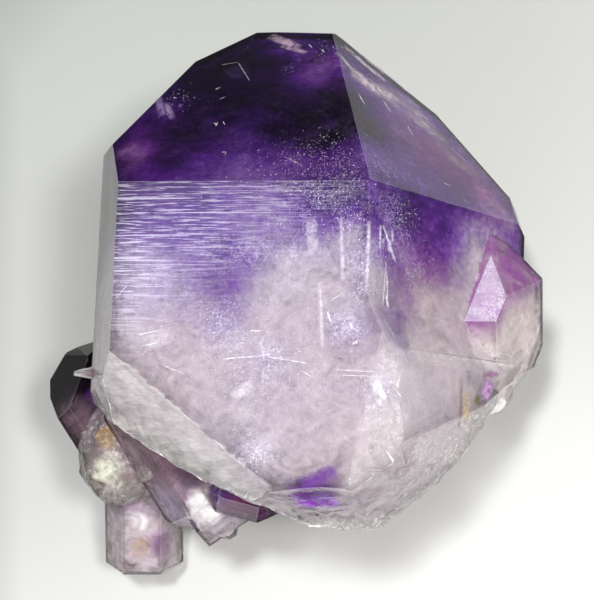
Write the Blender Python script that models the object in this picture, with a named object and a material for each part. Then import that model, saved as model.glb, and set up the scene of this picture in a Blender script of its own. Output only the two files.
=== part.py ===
"""An amethyst crystal: a stout quartz point, broken off at its base, with smaller crystals grown on it.

It lies on its back prism face, flat on Z = 0, with its tip along +Y and its widest prism face up.
The origin is the middle of the bottom of its bounding box. Every size is a real one in millimetres,
times MM. A crystal is the space inside its faces: a block is cut by one plane for each face, at
quartz's own angles, so only the distance of each face from the crystal's middle is given.
"""

import math

import bmesh
import bpy
from mathutils import Matrix, Vector, noise

MM = 0.001

# Quartz's angles. A face's azimuth turns round the long axis: 0 is the crystal's right, 90 its front.
TIP_FACE_POLAR = math.radians(51.8)
CORNER_FACE_POLAR = math.radians(65.6)
PRISM_POLAR = math.radians(90.0)

# The large point. Distances are from a middle on its long axis, and the lean is of the face's normal
# towards the tip, because faces that are striated across drift from the true prism.
MAIN_REST_DISTANCE = 22.0
MAIN_PRISM = {
    90: (20.0, -1.0),
    30: (26.2, 1.9),
    150: (22.7, -1.5),
    -30: (26.0, 0.0),
    -150: (12.95, 0.0),
    -90: (MAIN_REST_DISTANCE, 0.0),
}
MAIN_TIP = {90: 35.0, 30: 37.05, 150: 41.0, -150: 36.6, -90: 32.1, -30: 41.1}
MAIN_CORNER = {0: 37.9}

# Above the shoulder step, the right prism face lies further in, below a steep facet.
SHOULDER_AZIMUTH = 30
SHOULDER_DISTANCE = 24.0
SHOULDER_FACET_POLAR = math.radians(68.0)
SHOULDER_FACET_POINT = (15.5, 16.5, 20.2)

# The apex is chipped: a point on each chip and the way that it faces.
APEX_CHIPS = (
    ((2.6, 54.0, 1.7), (0.05, 0.97, 0.24)),
    ((7.45, 52.6, 0.2), (0.52, 0.84, -0.16)),
)

# Broken faces of the large point, each with a point on it, the way that it faces, and how deep its
# shell-shaped ripples and its lumps are.
BROKEN_FACES = {
    "left scar": ((-12.6, 8.7, 20.1), (-0.43, -0.58, 0.69), 0.14, 0.10),
    "left lip": ((-16.9, 9.2, 17.9), (-0.77, -0.44, 0.47), 0.08, 0.08),
    "under the scar": ((-12.9, 1.0, 14.0), (-0.43, -0.86, -0.27), 0.10, 0.45),
    "base left": ((5.0, -8.0, 10.0), (-0.36, -0.92, 0.16), 0.15, 0.45),
    "base foot": ((10.0, -7.5, 9.0), (0.05, -0.97, 0.24), 0.15, 0.50),
    "base low edge": ((11.54, -7.45, 3.96), (0.142, -0.981, -0.131), 0.15, 0.45),
    "base low corner": ((17.11, -4.86, 3.93), (0.613, -0.758, -0.223), 0.20, 0.45),
    "base right": ((18.92, -3.04, 8.0), (0.64, -0.75, 0.14), 0.20, 0.50),
    "right corner": ((24.6, 3.4, 6.0), (0.90, -0.42, 0.12), 0.15, 0.40),
    "right flank": ((16.6, 9.6, 20.1), (0.37, -0.08, 0.93), 0.10, 0.10),
    "right flank edge": ((24.6, 4.6, 8.0), (0.88, -0.38, 0.29), 0.12, 0.20),
    "base back left": ((-6.0, 0.5, 0.0), (-0.52, -0.72, -0.46), 0.25, 0.60),
    "base back": ((9.0, -6.6, 0.0), (0.10, -0.84, -0.53), 0.25, 0.60),
    "base back right": ((21.5, 2.0, 0.0), (0.72, -0.54, -0.43), 0.25, 0.60),
}
BROKEN_GRID = 1.7
GRID_REACH = 60.0
RIPPLE_LENGTH = 3.4
LUMP_LENGTH = 4.2

# The smaller crystals: where each one's middle is, where its tip and its front point, and its faces.
# Where a tip is worn off, it has a point on each worn face and the way that it faces.
SIDE_CRYSTALS = {
    "right point": {
        "middle": (22.7, 16.3, 2.0),
        "tip_way": (0.038, 0.884, 0.467),
        "front_way": (0.145, -0.467, 0.872),
        "prism": {90: 3.5, 30: 5.0, -30: 10.5, -90: 9.5, -150: 5.5, 150: 3.2},
        "tip": {90: 4.5, 30: 7.2, -30: 11.6, -90: 10.5, -150: 6.5, 150: 3.1},
        "foot": {90: 5.8, 30: 7.1, -30: 10.1, -90: 9.5, -150: 6.5, 150: 5.0},
    },
    "smoky point": {
        "middle": (-27.2, 7.9, -5.0),
        "tip_way": (-0.366, 0.705, 0.609),
        "front_way": (0.422, -0.457, 0.783),
        "prism": {120: 4.9, 60: 3.9, 0: 7.0, 180: 3.1, -120: 4.6, -60: 5.5},
        "tip": {120: 7.3, 60: 6.8, 0: 8.6, 180: 5.5, -120: 5.8, -60: 6.9},
        "foot": {120: 11.0, 60: 9.5, 0: 12.0, 180: 9.8, -120: 11.0, -60: 12.0},
        "worn": (
            ((-31.15, 12.85, -4.8), (-0.62, 0.24, 0.75)),
            ((-29.6, 15.55, -4.7), (-0.34, 0.70, 0.63)),
            ((-30.6, 14.3, -4.75), (-0.52, 0.52, 0.68)),
            ((-27.4, 16.4, -5.0), (-0.27, 0.85, 0.45)),
            ((-31.94, 10.23, -5.0), (-0.928, -0.097, 0.359)),
        ),
    },
    "foot block": {
        "middle": (-21.3, -6.2, -14.4),
        "tip_way": (0.048, 0.919, 0.390),
        "front_way": (0.267, -0.388, 0.882),
        "prism": {90: 4.4, 30: 4.2, -30: 4.4, -90: 4.8, -150: 4.3, 150: 4.3},
        "tip": {90: 6.0, 30: 6.0, -30: 6.4, -90: 6.8, -150: 6.0, 150: 5.7},
        "foot": {90: 6.0, 30: 6.1, -30: 6.2, -90: 6.2, -150: 6.2, 150: 6.2},
        "foot_end": 5.0,
        "tip_end": 6.6,
    },
    "mauve block": {
        "middle": (-12.7, 0.2, -1.5),
        "tip_way": (0.50, -0.80, -0.33),
        "front_way": (0.30, -0.20, 0.93),
        "prism": {90: 4.2, 30: 3.7, -30: 5.0, -90: 6.0, -150: 7.4, 150: 6.6},
        "tip": {90: 6.4, 30: 6.2, -30: 6.8, -90: 7.0, -150: 7.8, 150: 7.6},
        "foot": {90: 10.0, 30: 9.0, -30: 10.0, -90: 11.0, -150: 13.0, 150: 12.5},
    },
    "lilac block": {
        "middle": (-8.0, -3.5, -5.0),
        "tip_way": (0.80, 0.58, -0.10),
        "front_way": (0.20, -0.15, 0.97),
        "prism": {90: 4.0, 30: 3.3, -30: 3.1, -90: 4.6, -150: 4.6, 150: 4.2},
        "tip": {90: 8.0, 30: 8.6, -30: 8.2, -90: 8.4, -150: 7.8, 150: 8.4},
        "foot": {90: 9.0, 30: 9.0, -30: 9.0, -90: 9.0, -150: 9.0, 150: 9.0},
        "foot_end": 4.4,
    },
    "lens point": {
        "middle": (-3.6, -4.0, 0.6),
        "tip_way": (0.96, -0.20, -0.18),
        "front_way": (0.25, 0.35, 0.90),
        "prism": {90: 2.0, 30: 2.1, -30: 2.0, -90: 3.0, -150: 2.2, 150: 1.8},
        "tip": {90: 2.9, 30: 3.0, -30: 3.0, -90: 3.2, -150: 3.0, 150: 2.8},
        "foot": {90: 3.4, 30: 3.4, -30: 3.4, -90: 3.6, -150: 3.6, 150: 3.4},
    },
    "back point": {
        "middle": (-16.5, 14.5, -11.0),
        "tip_way": (-0.62, 0.62, -0.48),
        "front_way": (-0.38, 0.30, 0.87),
        "prism": {90: 3.0, 30: 3.4, -30: 3.2, -90: 3.0, -150: 3.3, 150: 3.4},
        "tip": {90: 4.6, 30: 5.0, -30: 4.8, -90: 4.6, -150: 5.0, 150: 5.1},
        "foot": {90: 9.0, 30: 9.0, -30: 9.0, -90: 9.0, -150: 9.0, 150: 9.0},
    },
}

# Rough quartz and matrix that the smaller crystals sit in: middle, radii, bumpiness and seed.
LUMPS = {
    "cluster root": ((-12.5, 3.0, -6.0), (9.5, 6.5, 9.0), 0.9, 3.0),
    "cluster foot": ((-18.4, 0.4, -12.0), (5.6, 4.6, 7.0), 0.8, 11.0),
    "smoky root": ((-22.3, 2.6, -5.5), (5.0, 7.0, 5.5), 0.7, 17.0),
    "white rim": ((-4.8, -2.7, -4.5), (5.6, 2.9, 5.0), 0.7, 23.0),
    "right matrix": ((24.0, 10.9, -2.5), (3.7, 3.6, 4.6), 0.7, 31.0),
}

# The thin pale tongue at the lower end of the left prism face.
TONGUE_MIDDLE = (-20.9, 9.8, 9.4)
TONGUE_SIZE = (2.8, 2.8, 4.8)

TONGUE_SIDES = 5
TONGUE_TAPER = 0.24
TONGUE_TURN = math.radians(-100.0)

# The block that every crystal is cut from, larger than any of them.
START_BLOCK = 200.0

# Noise: how much weaker and finer the second octave of lumps and bumps is.
FINE_LUMPS = 2.3
FINE_LUMP_SHARE = 0.5
BUMP_SCALE = 1.6
FINE_BUMP_SCALE = 3.4
FINE_BUMP_SHARE = 0.6
LUMP_SUBDIVISIONS = 3

MERGE_DISTANCE = 0.02 * MM
PLANE_TOLERANCE = 0.002 * MM
FLAT_ANGLE = math.radians(0.05)
SAME_WAY = 0.9999
SMALLEST_TURN = 0.01


def face_way(azimuth, polar):
    """The outward way of a face, where the tip points along Y and azimuth 90 is Z."""
    turn = math.radians(azimuth)
    across = math.sin(polar)
    return Vector((across * math.cos(turn), math.cos(polar), across * math.sin(turn)))


def new_object(name, mesh, collection):
    made = bpy.data.objects.new(name, mesh)
    collection.objects.link(made)
    return made


def cut(solid, way, point):
    """Cuts away what lies beyond a plane and closes the cut with one flat face."""
    everything = solid.verts[:] + solid.edges[:] + solid.faces[:]
    cut_through = bmesh.ops.bisect_plane(
        solid, geom=everything, dist=PLANE_TOLERANCE, plane_co=point, plane_no=way, clear_outer=True
    )
    rim = [item for item in cut_through["geom_cut"] if isinstance(item, bmesh.types.BMEdge)]
    if rim:
        bmesh.ops.contextual_create(solid, geom=rim)


def inside_faces(faces):
    """The solid inside a list of faces, each a way and a distance from the middle."""
    solid = bmesh.new()
    bmesh.ops.create_cube(solid, size=START_BLOCK * MM)
    for way, distance in faces:
        cut(solid, way, way * distance)
    return solid


def crystal_faces(prism, tip, foot):
    faces = [(face_way(azimuth, PRISM_POLAR), far * MM) for azimuth, far in prism.items()]
    faces += [(face_way(azimuth, TIP_FACE_POLAR), far * MM) for azimuth, far in tip.items()]
    faces += [(face_way(azimuth, math.pi - TIP_FACE_POLAR), far * MM) for azimuth, far in foot.items()]
    return faces


def finish_mesh(name, solid):
    bmesh.ops.remove_doubles(solid, verts=solid.verts[:], dist=MERGE_DISTANCE)
    bmesh.ops.recalc_face_normals(solid, faces=solid.faces[:])
    mesh = bpy.data.meshes.new(name)
    solid.to_mesh(mesh)
    solid.free()
    return mesh


def helper_collection(name):
    helpers = bpy.data.collections.new(name)
    bpy.context.scene.collection.children.link(helpers)
    return helpers


def hide_helper(helper):
    helper.hide_render = True
    helper.display_type = "WIRE"


def boolean(target, other, operation):
    step = target.modifiers.new(other.name, "BOOLEAN")
    step.operation = operation
    step.solver = "EXACT"
    step.object = other


def evaluated_mesh(made):
    """The object's mesh with its modifiers worked out."""
    bpy.context.view_layer.update()
    return bpy.data.meshes.new_from_object(made.evaluated_get(bpy.context.evaluated_depsgraph_get()))


def main_natural_faces():
    """The grown faces of the large point, as ways and distances."""
    faces = []
    for azimuth, (far, lean) in MAIN_PRISM.items():
        faces.append((face_way(azimuth, PRISM_POLAR - math.radians(lean)), far * MM))
    for azimuth, far in MAIN_TIP.items():
        faces.append((face_way(azimuth, TIP_FACE_POLAR), far * MM))
    for azimuth, far in MAIN_CORNER.items():
        faces.append((face_way(azimuth, CORNER_FACE_POLAR), far * MM))
    return faces


def shoulder_faces():
    """The two faces of the step on the right prism face."""
    lean = math.radians(MAIN_PRISM[SHOULDER_AZIMUTH][1])
    upper = face_way(SHOULDER_AZIMUTH, PRISM_POLAR - lean)
    facet = face_way(SHOULDER_AZIMUTH, SHOULDER_FACET_POLAR)
    return [(upper, SHOULDER_DISTANCE * MM), (facet, facet.dot(Vector(SHOULDER_FACET_POINT)) * MM)]


def cut_shoulder(body, helpers):
    """Takes the step's upper slab off the right prism face."""
    slab_faces = [(-way, -distance) for way, distance in shoulder_faces()]
    cutter = new_object("shoulder slab", finish_mesh("shoulder slab", inside_faces(slab_faces)), helpers)
    hide_helper(cutter)
    boolean(body, cutter, "DIFFERENCE")
    stepped = evaluated_mesh(body)
    bpy.data.objects.remove(body)
    bpy.data.objects.remove(cutter)
    return stepped


def on_plane(vertex, way, distance):
    return abs(vertex.co.dot(way) - distance) < 4 * PLANE_TOLERANCE


def split_broken_face(solid, way):
    """Cuts one flat broken face into a grid, so that it can be rippled."""
    side = way.orthogonal().normalized()
    steps = int(GRID_REACH / BROKEN_GRID)
    for grid_way in (side, way.cross(side)):
        for number in range(-steps, steps + 1):
            faces = [face for face in solid.faces if face.normal.dot(way) > SAME_WAY]
            edges = {edge for face in faces for edge in face.edges}
            corners = {corner for face in faces for corner in face.verts}
            bmesh.ops.bisect_plane(
                solid,
                geom=list(corners) + list(edges) + faces,
                dist=PLANE_TOLERANCE,
                plane_co=grid_way * number * BROKEN_GRID * MM,
                plane_no=grid_way,
            )


def roughness_at(place, start, ripple, lump):
    """How far in a broken face lies at a place: rings round its starting point, and lumps."""
    rings = math.sin((place - start).length / (RIPPLE_LENGTH * MM) * math.tau) * 0.5 + 0.5
    spot = place / (LUMP_LENGTH * MM)
    lumps = noise.noise(spot) + FINE_LUMP_SHARE * noise.noise(spot * FINE_LUMPS)
    return (ripple * rings + lump * (0.5 + lumps)) * MM


def ripple_broken_faces(solid, grown):
    """Moves the grid corners of the broken faces in. Where a grown face ends there, they stay on it."""
    ways = {name: Vector(values[1]).normalized() for name, values in BROKEN_FACES.items()}
    for way in ways.values():
        split_broken_face(solid, way)
    moves = {}
    for name, (start, _, ripple, lump) in BROKEN_FACES.items():
        start = Vector(start) * MM
        for face in solid.faces:
            if face.normal.dot(ways[name]) > SAME_WAY:
                for corner in face.verts:
                    depth = roughness_at(corner.co, start, ripple, lump)
                    moves.setdefault(corner, []).append(-ways[name] * depth)
    for corner, pulls in moves.items():
        move = sum(pulls, Vector()) / len(pulls)
        held = [way for way, distance in grown if on_plane(corner, way, distance)]
        for number, way in enumerate(held):
            for earlier in held[:number]:
                way = way - earlier * way.dot(earlier)
            if way.length > SMALLEST_TURN:
                way = way.normalized()
                held[number] = way
                move -= way * move.dot(way)
        if len(held) < 3:
            corner.co += move


def large_point(helpers):
    """The large point, with its step, its chips and its broken base."""
    grown = main_natural_faces()
    whole = new_object("whole", finish_mesh("whole", inside_faces(grown)), helpers)
    stepped = cut_shoulder(whole, helpers)
    solid = bmesh.new()
    solid.from_mesh(stepped)
    bmesh.ops.dissolve_limit(
        solid, angle_limit=FLAT_ANGLE, verts=solid.verts[:], edges=solid.edges[:]
    )
    for point, way in APEX_CHIPS:
        cut(solid, Vector(way).normalized(), Vector(point) * MM)
    for point, way, _, _ in BROKEN_FACES.values():
        cut(solid, Vector(way).normalized(), Vector(point) * MM)
    solid.normal_update()
    ripple_broken_faces(solid, grown + shoulder_faces())
    return finish_mesh("large point", solid)


def side_crystal(name, shape, helpers):
    """A smaller crystal, turned and placed where it grew."""
    tip_way = Vector(shape["tip_way"]).normalized()
    front_way = Vector(shape["front_way"])
    front_way = (front_way - tip_way * front_way.dot(tip_way)).normalized()
    right_way = tip_way.cross(front_way)
    turn = Matrix((right_way, tip_way, front_way)).transposed().to_4x4()
    solid = inside_faces(crystal_faces(shape["prism"], shape["tip"], shape["foot"]))
    for end, way in (("foot_end", Vector((0.0, -1.0, 0.0))), ("tip_end", Vector((0.0, 1.0, 0.0)))):
        if end in shape:
            cut(solid, way, way * shape[end] * MM)
    placed = Matrix.Translation(Vector(shape["middle"]) * MM) @ turn
    bmesh.ops.transform(solid, matrix=placed, verts=solid.verts[:])
    for point, way in shape.get("worn", ()):
        cut(solid, Vector(way).normalized(), Vector(point) * MM)
    made = new_object(name, finish_mesh(name, solid), helpers)
    hide_helper(made)
    return made


def lump(name, middle, radii, bump, seed, helpers):
    """A rounded, bumpy lump of rough quartz."""
    solid = bmesh.new()
    bmesh.ops.create_icosphere(solid, subdivisions=LUMP_SUBDIVISIONS, radius=1.0)
    for corner in solid.verts:
        way = corner.co.normalized()
        bumps = noise.noise(way * BUMP_SCALE + Vector((seed, 0.0, 0.0)))
        bumps += FINE_BUMP_SHARE * noise.noise(way * FINE_BUMP_SCALE + Vector((0.0, seed, 0.0)))
        round_place = Vector([part * radius for part, radius in zip(way, radii)])
        corner.co = (round_place + way * bumps * bump) * MM
    made = new_object(name, finish_mesh(name, solid), helpers)
    made.location = Vector(middle) * MM
    hide_helper(made)
    return made


def tongue(helpers):
    """The small wedge of quartz that sticks out where the left prism face ends."""
    solid = bmesh.new()
    bmesh.ops.create_cone(
        solid, cap_ends=True, segments=TONGUE_SIDES, radius1=0.5, radius2=0.5 * TONGUE_TAPER, depth=1.0
    )
    bmesh.ops.scale(solid, vec=Vector(TONGUE_SIZE) * MM, verts=solid.verts[:])
    bmesh.ops.rotate(solid, cent=(0, 0, 0), matrix=Matrix.Rotation(TONGUE_TURN, 3, "Y"), verts=solid.verts[:])
    made = new_object("tongue", finish_mesh("tongue", solid), helpers)
    made.location = Vector(TONGUE_MIDDLE) * MM
    hide_helper(made)
    return made


def amethyst_material():
    """Clear violet quartz."""
    material = bpy.data.materials.new("amethyst")
    material.use_nodes = True
    shader = material.node_tree.nodes["Principled BSDF"]
    shader.inputs["Base Color"].default_value = (0.43, 0.27, 0.56, 1.0)
    shader.inputs["Roughness"].default_value = 0.08
    shader.inputs["Metallic"].default_value = 0.0
    return material


def place_on_floor(mesh):
    """Moves the mesh so that the origin is the middle of the bottom of its box."""
    xs = [corner.co.x for corner in mesh.vertices]
    ys = [corner.co.y for corner in mesh.vertices]
    zs = [corner.co.z for corner in mesh.vertices]
    middle = Vector(((min(xs) + max(xs)) / 2, (min(ys) + max(ys)) / 2, min(zs)))
    mesh.transform(Matrix.Translation(-middle))


def main():
    for old in list(bpy.data.objects):
        bpy.data.objects.remove(old)
    specimen = helper_collection("amethyst crystal")
    helpers = helper_collection("joined shapes")
    body = new_object("body", large_point(helpers), helpers)
    grown_on = [side_crystal(name, shape, helpers) for name, shape in SIDE_CRYSTALS.items()]
    grown_on += [lump(name, *values, helpers) for name, values in LUMPS.items()]
    grown_on.append(tongue(helpers))
    for other in grown_on:
        boolean(body, other, "UNION")
    joined = evaluated_mesh(body)
    place_on_floor(joined)
    joined.materials.clear()
    joined.materials.append(amethyst_material())
    new_object("amethyst_crystal", joined, specimen)
    for helper in [body] + grown_on:
        bpy.data.objects.remove(helper)


main()
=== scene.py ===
# %% [markdown]
# # An amethyst crystal, dressed
#
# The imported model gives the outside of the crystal: every face, break and smaller crystal in its place.
# This script gives it its inside. Quartz is glass-clear, so what the eye reads as violet, milk and
# sparkle lies below the surface: colour zones under the tip faces, clouds of tiny bubbles, healed cracks.
# Each of those is modelled as a piece of its own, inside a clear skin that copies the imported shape.

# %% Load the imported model
import math
import random

import bmesh
import bpy
import numpy as np
from mathutils import Matrix, Vector, noise


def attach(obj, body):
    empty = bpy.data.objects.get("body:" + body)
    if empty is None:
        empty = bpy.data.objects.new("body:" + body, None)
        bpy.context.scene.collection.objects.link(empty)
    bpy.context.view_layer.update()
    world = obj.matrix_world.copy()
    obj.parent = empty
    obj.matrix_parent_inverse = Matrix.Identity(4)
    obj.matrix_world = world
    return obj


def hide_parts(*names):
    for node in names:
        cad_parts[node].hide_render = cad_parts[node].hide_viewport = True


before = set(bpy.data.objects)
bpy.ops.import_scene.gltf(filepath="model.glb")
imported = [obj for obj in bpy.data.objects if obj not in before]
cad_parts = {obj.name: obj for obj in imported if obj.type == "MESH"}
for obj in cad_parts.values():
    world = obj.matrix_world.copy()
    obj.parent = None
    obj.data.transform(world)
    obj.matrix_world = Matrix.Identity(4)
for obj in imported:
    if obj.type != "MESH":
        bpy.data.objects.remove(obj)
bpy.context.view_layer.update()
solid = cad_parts["amethyst_crystal"]

MM = 0.001

# %% [markdown]
# ## The camera
#
# A long lens close to a hand-sized stone, looking down at about 71 degrees. The place and the lens were
# worked out from the edges of the crystal, because quartz's face angles are always the same.

# %% Camera
CAMERA_PLACE = Vector((79.188, -53.734, 290.866)) * MM
CAMERA_RIGHT = Vector((0.96242, 0.06112, -0.26460))
CAMERA_UP = Vector((-0.00792, 0.98024, 0.19763))
CAMERA_BACK = Vector((0.27146, -0.18811, 0.94389))

camera_data = bpy.data.cameras.new("camera")
camera_data.sensor_fit = "AUTO"
camera_data.sensor_width = 24.0
camera_data.lens = 93.76
camera_data.clip_start = 0.01
camera = bpy.data.objects.new("camera", camera_data)
bpy.context.scene.collection.objects.link(camera)
axes = Matrix((CAMERA_RIGHT, CAMERA_UP, CAMERA_BACK)).transposed().to_4x4()
camera.matrix_world = Matrix.Translation(CAMERA_PLACE) @ axes
bpy.context.scene.camera = camera
print("camera looks down at", round(math.degrees(math.asin(CAMERA_BACK.z)), 1), "degrees")

# %% [markdown]
# ## Small tools for modelling
#
# An operator acts on everything that is selected, so each piece starts with nothing selected. A crystal
# is the space inside its faces: a cube is cut by one plane for each face, and each cut is filled.

# %% One piece at a time
def select_only(piece):
    """Selects one piece for the next operator and nothing else."""
    bpy.ops.object.select_all(action="DESELECT")
    piece.select_set(True)
    bpy.context.view_layer.objects.active = piece


def apply_modifiers(piece):
    select_only(piece)
    for step in list(piece.modifiers):
        bpy.ops.object.modifier_apply(modifier=step.name)


def apply_place(piece):
    select_only(piece)
    bpy.ops.object.transform_apply(location=True, rotation=True, scale=True)


# %% A crystal from its faces
def face_way(azimuth, polar):
    """The outward way of a crystal face: its azimuth round the long axis and its angle from the tip."""
    turn, lean = math.radians(azimuth), math.radians(polar)
    return Vector((math.sin(lean) * math.cos(turn), math.cos(lean), math.sin(lean) * math.sin(turn)))


def cut_block(name, planes):
    """A convex block inside planes, each given as a way and a point on it in millimetres."""
    bpy.ops.object.select_all(action="DESELECT")
    bpy.ops.mesh.primitive_cube_add(size=0.2)
    block = bpy.context.object
    block.name = block.data.name = name
    bpy.ops.object.mode_set(mode="EDIT")
    for way, point in planes:
        bpy.ops.mesh.select_all(action="SELECT")
        bpy.ops.mesh.bisect(
            plane_co=Vector(point) * MM, plane_no=way, use_fill=True, clear_outer=True, threshold=1e-6
        )
    bpy.ops.mesh.select_all(action="SELECT")
    bpy.ops.mesh.normals_make_consistent(inside=False)
    bpy.ops.object.mode_set(mode="OBJECT")
    return block


# %% [markdown]
# ## The crystals' faces
#
# The clouds and colour zones inside follow the faces, because they were the crystal's surface while it
# grew. So the faces are listed once more here, and every inner piece is cut by them, moved in a little.

# %% Faces of the large point
TIP_POLAR = 51.8
CORNER_POLAR = 65.6
MIDDLE = Vector((0.629, -20.934, 22.0))
MAIN_PRISM = {
    90: (20.0, -1.0), 30: (24.0, 1.9), 150: (22.7, -1.5),
    -30: (26.0, 0.0), -150: (12.95, 0.0), -90: (22.0, 0.0),
}
MAIN_TIP = {90: 35.0, 30: 37.05, 150: 41.0, -150: 36.6, -90: 32.1, -30: 41.1}
MAIN_CORNER = {0: 37.9}
MAIN_GROWN = len(MAIN_PRISM) + len(MAIN_TIP) + len(MAIN_CORNER)
SHOULDER = {"far": 26.2, "facet": 68.0, "place": (15.5, 16.5, 20.2)}
BREAKS = (
    ((2.6, 54.0, 1.7), (0.05, 0.97, 0.24)),
    ((7.45, 52.6, 0.2), (0.52, 0.84, -0.16)),
    ((-12.6, 8.7, 20.1), (-0.43, -0.58, 0.69)),
    ((-16.9, 9.2, 17.9), (-0.77, -0.44, 0.47)),
    ((-12.9, 1.0, 14.0), (-0.43, -0.86, -0.27)),
    ((5.0, -8.0, 10.0), (-0.36, -0.92, 0.16)),
    ((10.0, -7.5, 9.0), (0.05, -0.97, 0.24)),
    ((11.54, -7.45, 3.96), (0.142, -0.981, -0.131)),
    ((17.11, -4.86, 3.93), (0.613, -0.758, -0.223)),
    ((18.92, -3.04, 8.0), (0.64, -0.75, 0.14)),
    ((24.6, 3.4, 6.0), (0.90, -0.42, 0.12)),
    ((16.6, 9.6, 20.1), (0.37, -0.08, 0.93)),
    ((24.6, 4.6, 8.0), (0.88, -0.38, 0.29)),
    ((-6.0, 0.5, 0.0), (-0.52, -0.72, -0.46)),
    ((9.0, -6.6, 0.0), (0.10, -0.84, -0.53)),
    ((21.5, 2.0, 0.0), (0.72, -0.54, -0.43)),
)


def prism_face(azimuth):
    """The way of one prism face of the large point and its distance from the middle."""
    far, lean = MAIN_PRISM[azimuth]
    return face_way(azimuth, 90.0 - lean), far


def main_planes(inset, break_inset=None, below_step=False):
    """The large point's faces, moved in by a depth in millimetres, or those below the step on its right."""
    grown = [prism_face(azimuth) for azimuth in MAIN_PRISM]
    if below_step:
        grown[1] = (grown[1][0], SHOULDER["far"])
        facet = face_way(30, SHOULDER["facet"])
        grown.append((facet, facet.dot(Vector(SHOULDER["place"]))))
    grown += [(face_way(azimuth, TIP_POLAR), far) for azimuth, far in MAIN_TIP.items()]
    grown += [(face_way(azimuth, CORNER_POLAR), far) for azimuth, far in MAIN_CORNER.items()]
    planes = [(way, MIDDLE + way * (far - inset)) for way, far in grown]
    deep = inset if break_inset is None else break_inset
    for point, way in BREAKS:
        way = Vector(way).normalized()
        planes.append((way, MIDDLE + Vector(point) - way * deep))
    return planes


print("large point", MAIN_GROWN, "grown faces and", len(BREAKS), "broken ones")

# %% Faces of the smaller crystals
SIDE_CRYSTALS = {
    "right_point": {
        "middle": (22.7, 16.3, 2.0), "tip_way": (0.038, 0.884, 0.467), "front_way": (0.145, -0.467, 0.872),
        "prism": {90: 3.5, 30: 5.0, -30: 10.5, -90: 9.5, -150: 5.5, 150: 3.2},
        "tip": {90: 4.5, 30: 7.2, -30: 11.6, -90: 10.5, -150: 6.5, 150: 3.1},
        "foot": {90: 5.8, 30: 7.1, -30: 10.1, -90: 9.5, -150: 6.5, 150: 5.0},
    },
    "smoky_point": {
        "middle": (-27.2, 7.9, -5.0), "tip_way": (-0.366, 0.705, 0.609), "front_way": (0.422, -0.457, 0.783),
        "prism": {120: 4.9, 60: 3.9, 0: 7.0, 180: 3.1, -120: 4.6, -60: 5.5},
        "tip": {120: 7.3, 60: 6.8, 0: 8.6, 180: 5.5, -120: 5.8, -60: 6.9},
        "foot": {120: 11.0, 60: 9.5, 0: 12.0, 180: 9.8, -120: 11.0, -60: 12.0},
        "worn": (
            ((-31.15, 12.85, -4.8), (-0.62, 0.24, 0.75)),
            ((-29.6, 15.55, -4.7), (-0.34, 0.70, 0.63)),
            ((-30.6, 14.3, -4.75), (-0.52, 0.52, 0.68)),
            ((-27.4, 16.4, -5.0), (-0.27, 0.85, 0.45)),
            ((-31.94, 10.23, -5.0), (-0.928, -0.097, 0.359)),
        ),
    },
    "foot_block": {
        "middle": (-21.3, -6.2, -14.4), "tip_way": (0.048, 0.919, 0.390), "front_way": (0.267, -0.388, 0.882),
        "prism": {90: 4.4, 30: 4.2, -30: 4.4, -90: 4.8, -150: 4.3, 150: 4.3},
        "tip": {90: 6.0, 30: 6.0, -30: 6.4, -90: 6.8, -150: 6.0, 150: 5.7},
        "foot": {90: 6.0, 30: 6.1, -30: 6.2, -90: 6.2, -150: 6.2, 150: 6.2},
        "foot_end": 5.0, "tip_end": 6.6,
    },
    "mauve_block": {
        "middle": (-12.7, 0.2, -1.5), "tip_way": (0.50, -0.80, -0.33), "front_way": (0.30, -0.20, 0.93),
        "prism": {90: 4.2, 30: 3.7, -30: 5.0, -90: 6.0, -150: 7.4, 150: 6.6},
        "tip": {90: 6.4, 30: 6.2, -30: 6.8, -90: 7.0, -150: 7.8, 150: 7.6},
        "foot": {90: 10.0, 30: 9.0, -30: 10.0, -90: 11.0, -150: 13.0, 150: 12.5},
    },
    "lilac_block": {
        "middle": (-8.0, -3.5, -5.0), "tip_way": (0.80, 0.58, -0.10), "front_way": (0.20, -0.15, 0.97),
        "prism": {90: 4.0, 30: 3.3, -30: 3.1, -90: 4.6, -150: 4.6, 150: 4.2},
        "tip": {90: 8.0, 30: 8.6, -30: 8.2, -90: 8.4, -150: 7.8, 150: 8.4},
        "foot": {90: 9.0, 30: 9.0, -30: 9.0, -90: 9.0, -150: 9.0, 150: 9.0},
        "foot_end": 4.4,
    },
    "lens_point": {
        "middle": (-3.6, -4.0, 0.6), "tip_way": (0.96, -0.20, -0.18), "front_way": (0.25, 0.35, 0.90),
        "prism": {90: 2.0, 30: 2.1, -30: 2.0, -90: 3.0, -150: 2.2, 150: 1.8},
        "tip": {90: 2.9, 30: 3.0, -30: 3.0, -90: 3.2, -150: 3.0, 150: 2.8},
        "foot": {90: 3.4, 30: 3.4, -30: 3.4, -90: 3.6, -150: 3.6, 150: 3.4},
    },
    "back_point": {
        "middle": (-16.5, 14.5, -11.0), "tip_way": (-0.62, 0.62, -0.48), "front_way": (-0.38, 0.30, 0.87),
        "prism": {90: 3.0, 30: 3.4, -30: 3.2, -90: 3.0, -150: 3.3, 150: 3.4},
        "tip": {90: 4.6, 30: 5.0, -30: 4.8, -90: 4.6, -150: 5.0, 150: 5.1},
        "foot": {90: 9.0, 30: 9.0, -30: 9.0, -90: 9.0, -150: 9.0, 150: 9.0},
    },
}


def side_frame(shape):
    """The axes of a smaller crystal: its right, its tip and its front."""
    tip_way = Vector(shape["tip_way"]).normalized()
    front_way = Vector(shape["front_way"])
    front_way = (front_way - tip_way * front_way.dot(tip_way)).normalized()
    return Matrix((tip_way.cross(front_way), tip_way, front_way)).transposed()


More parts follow.
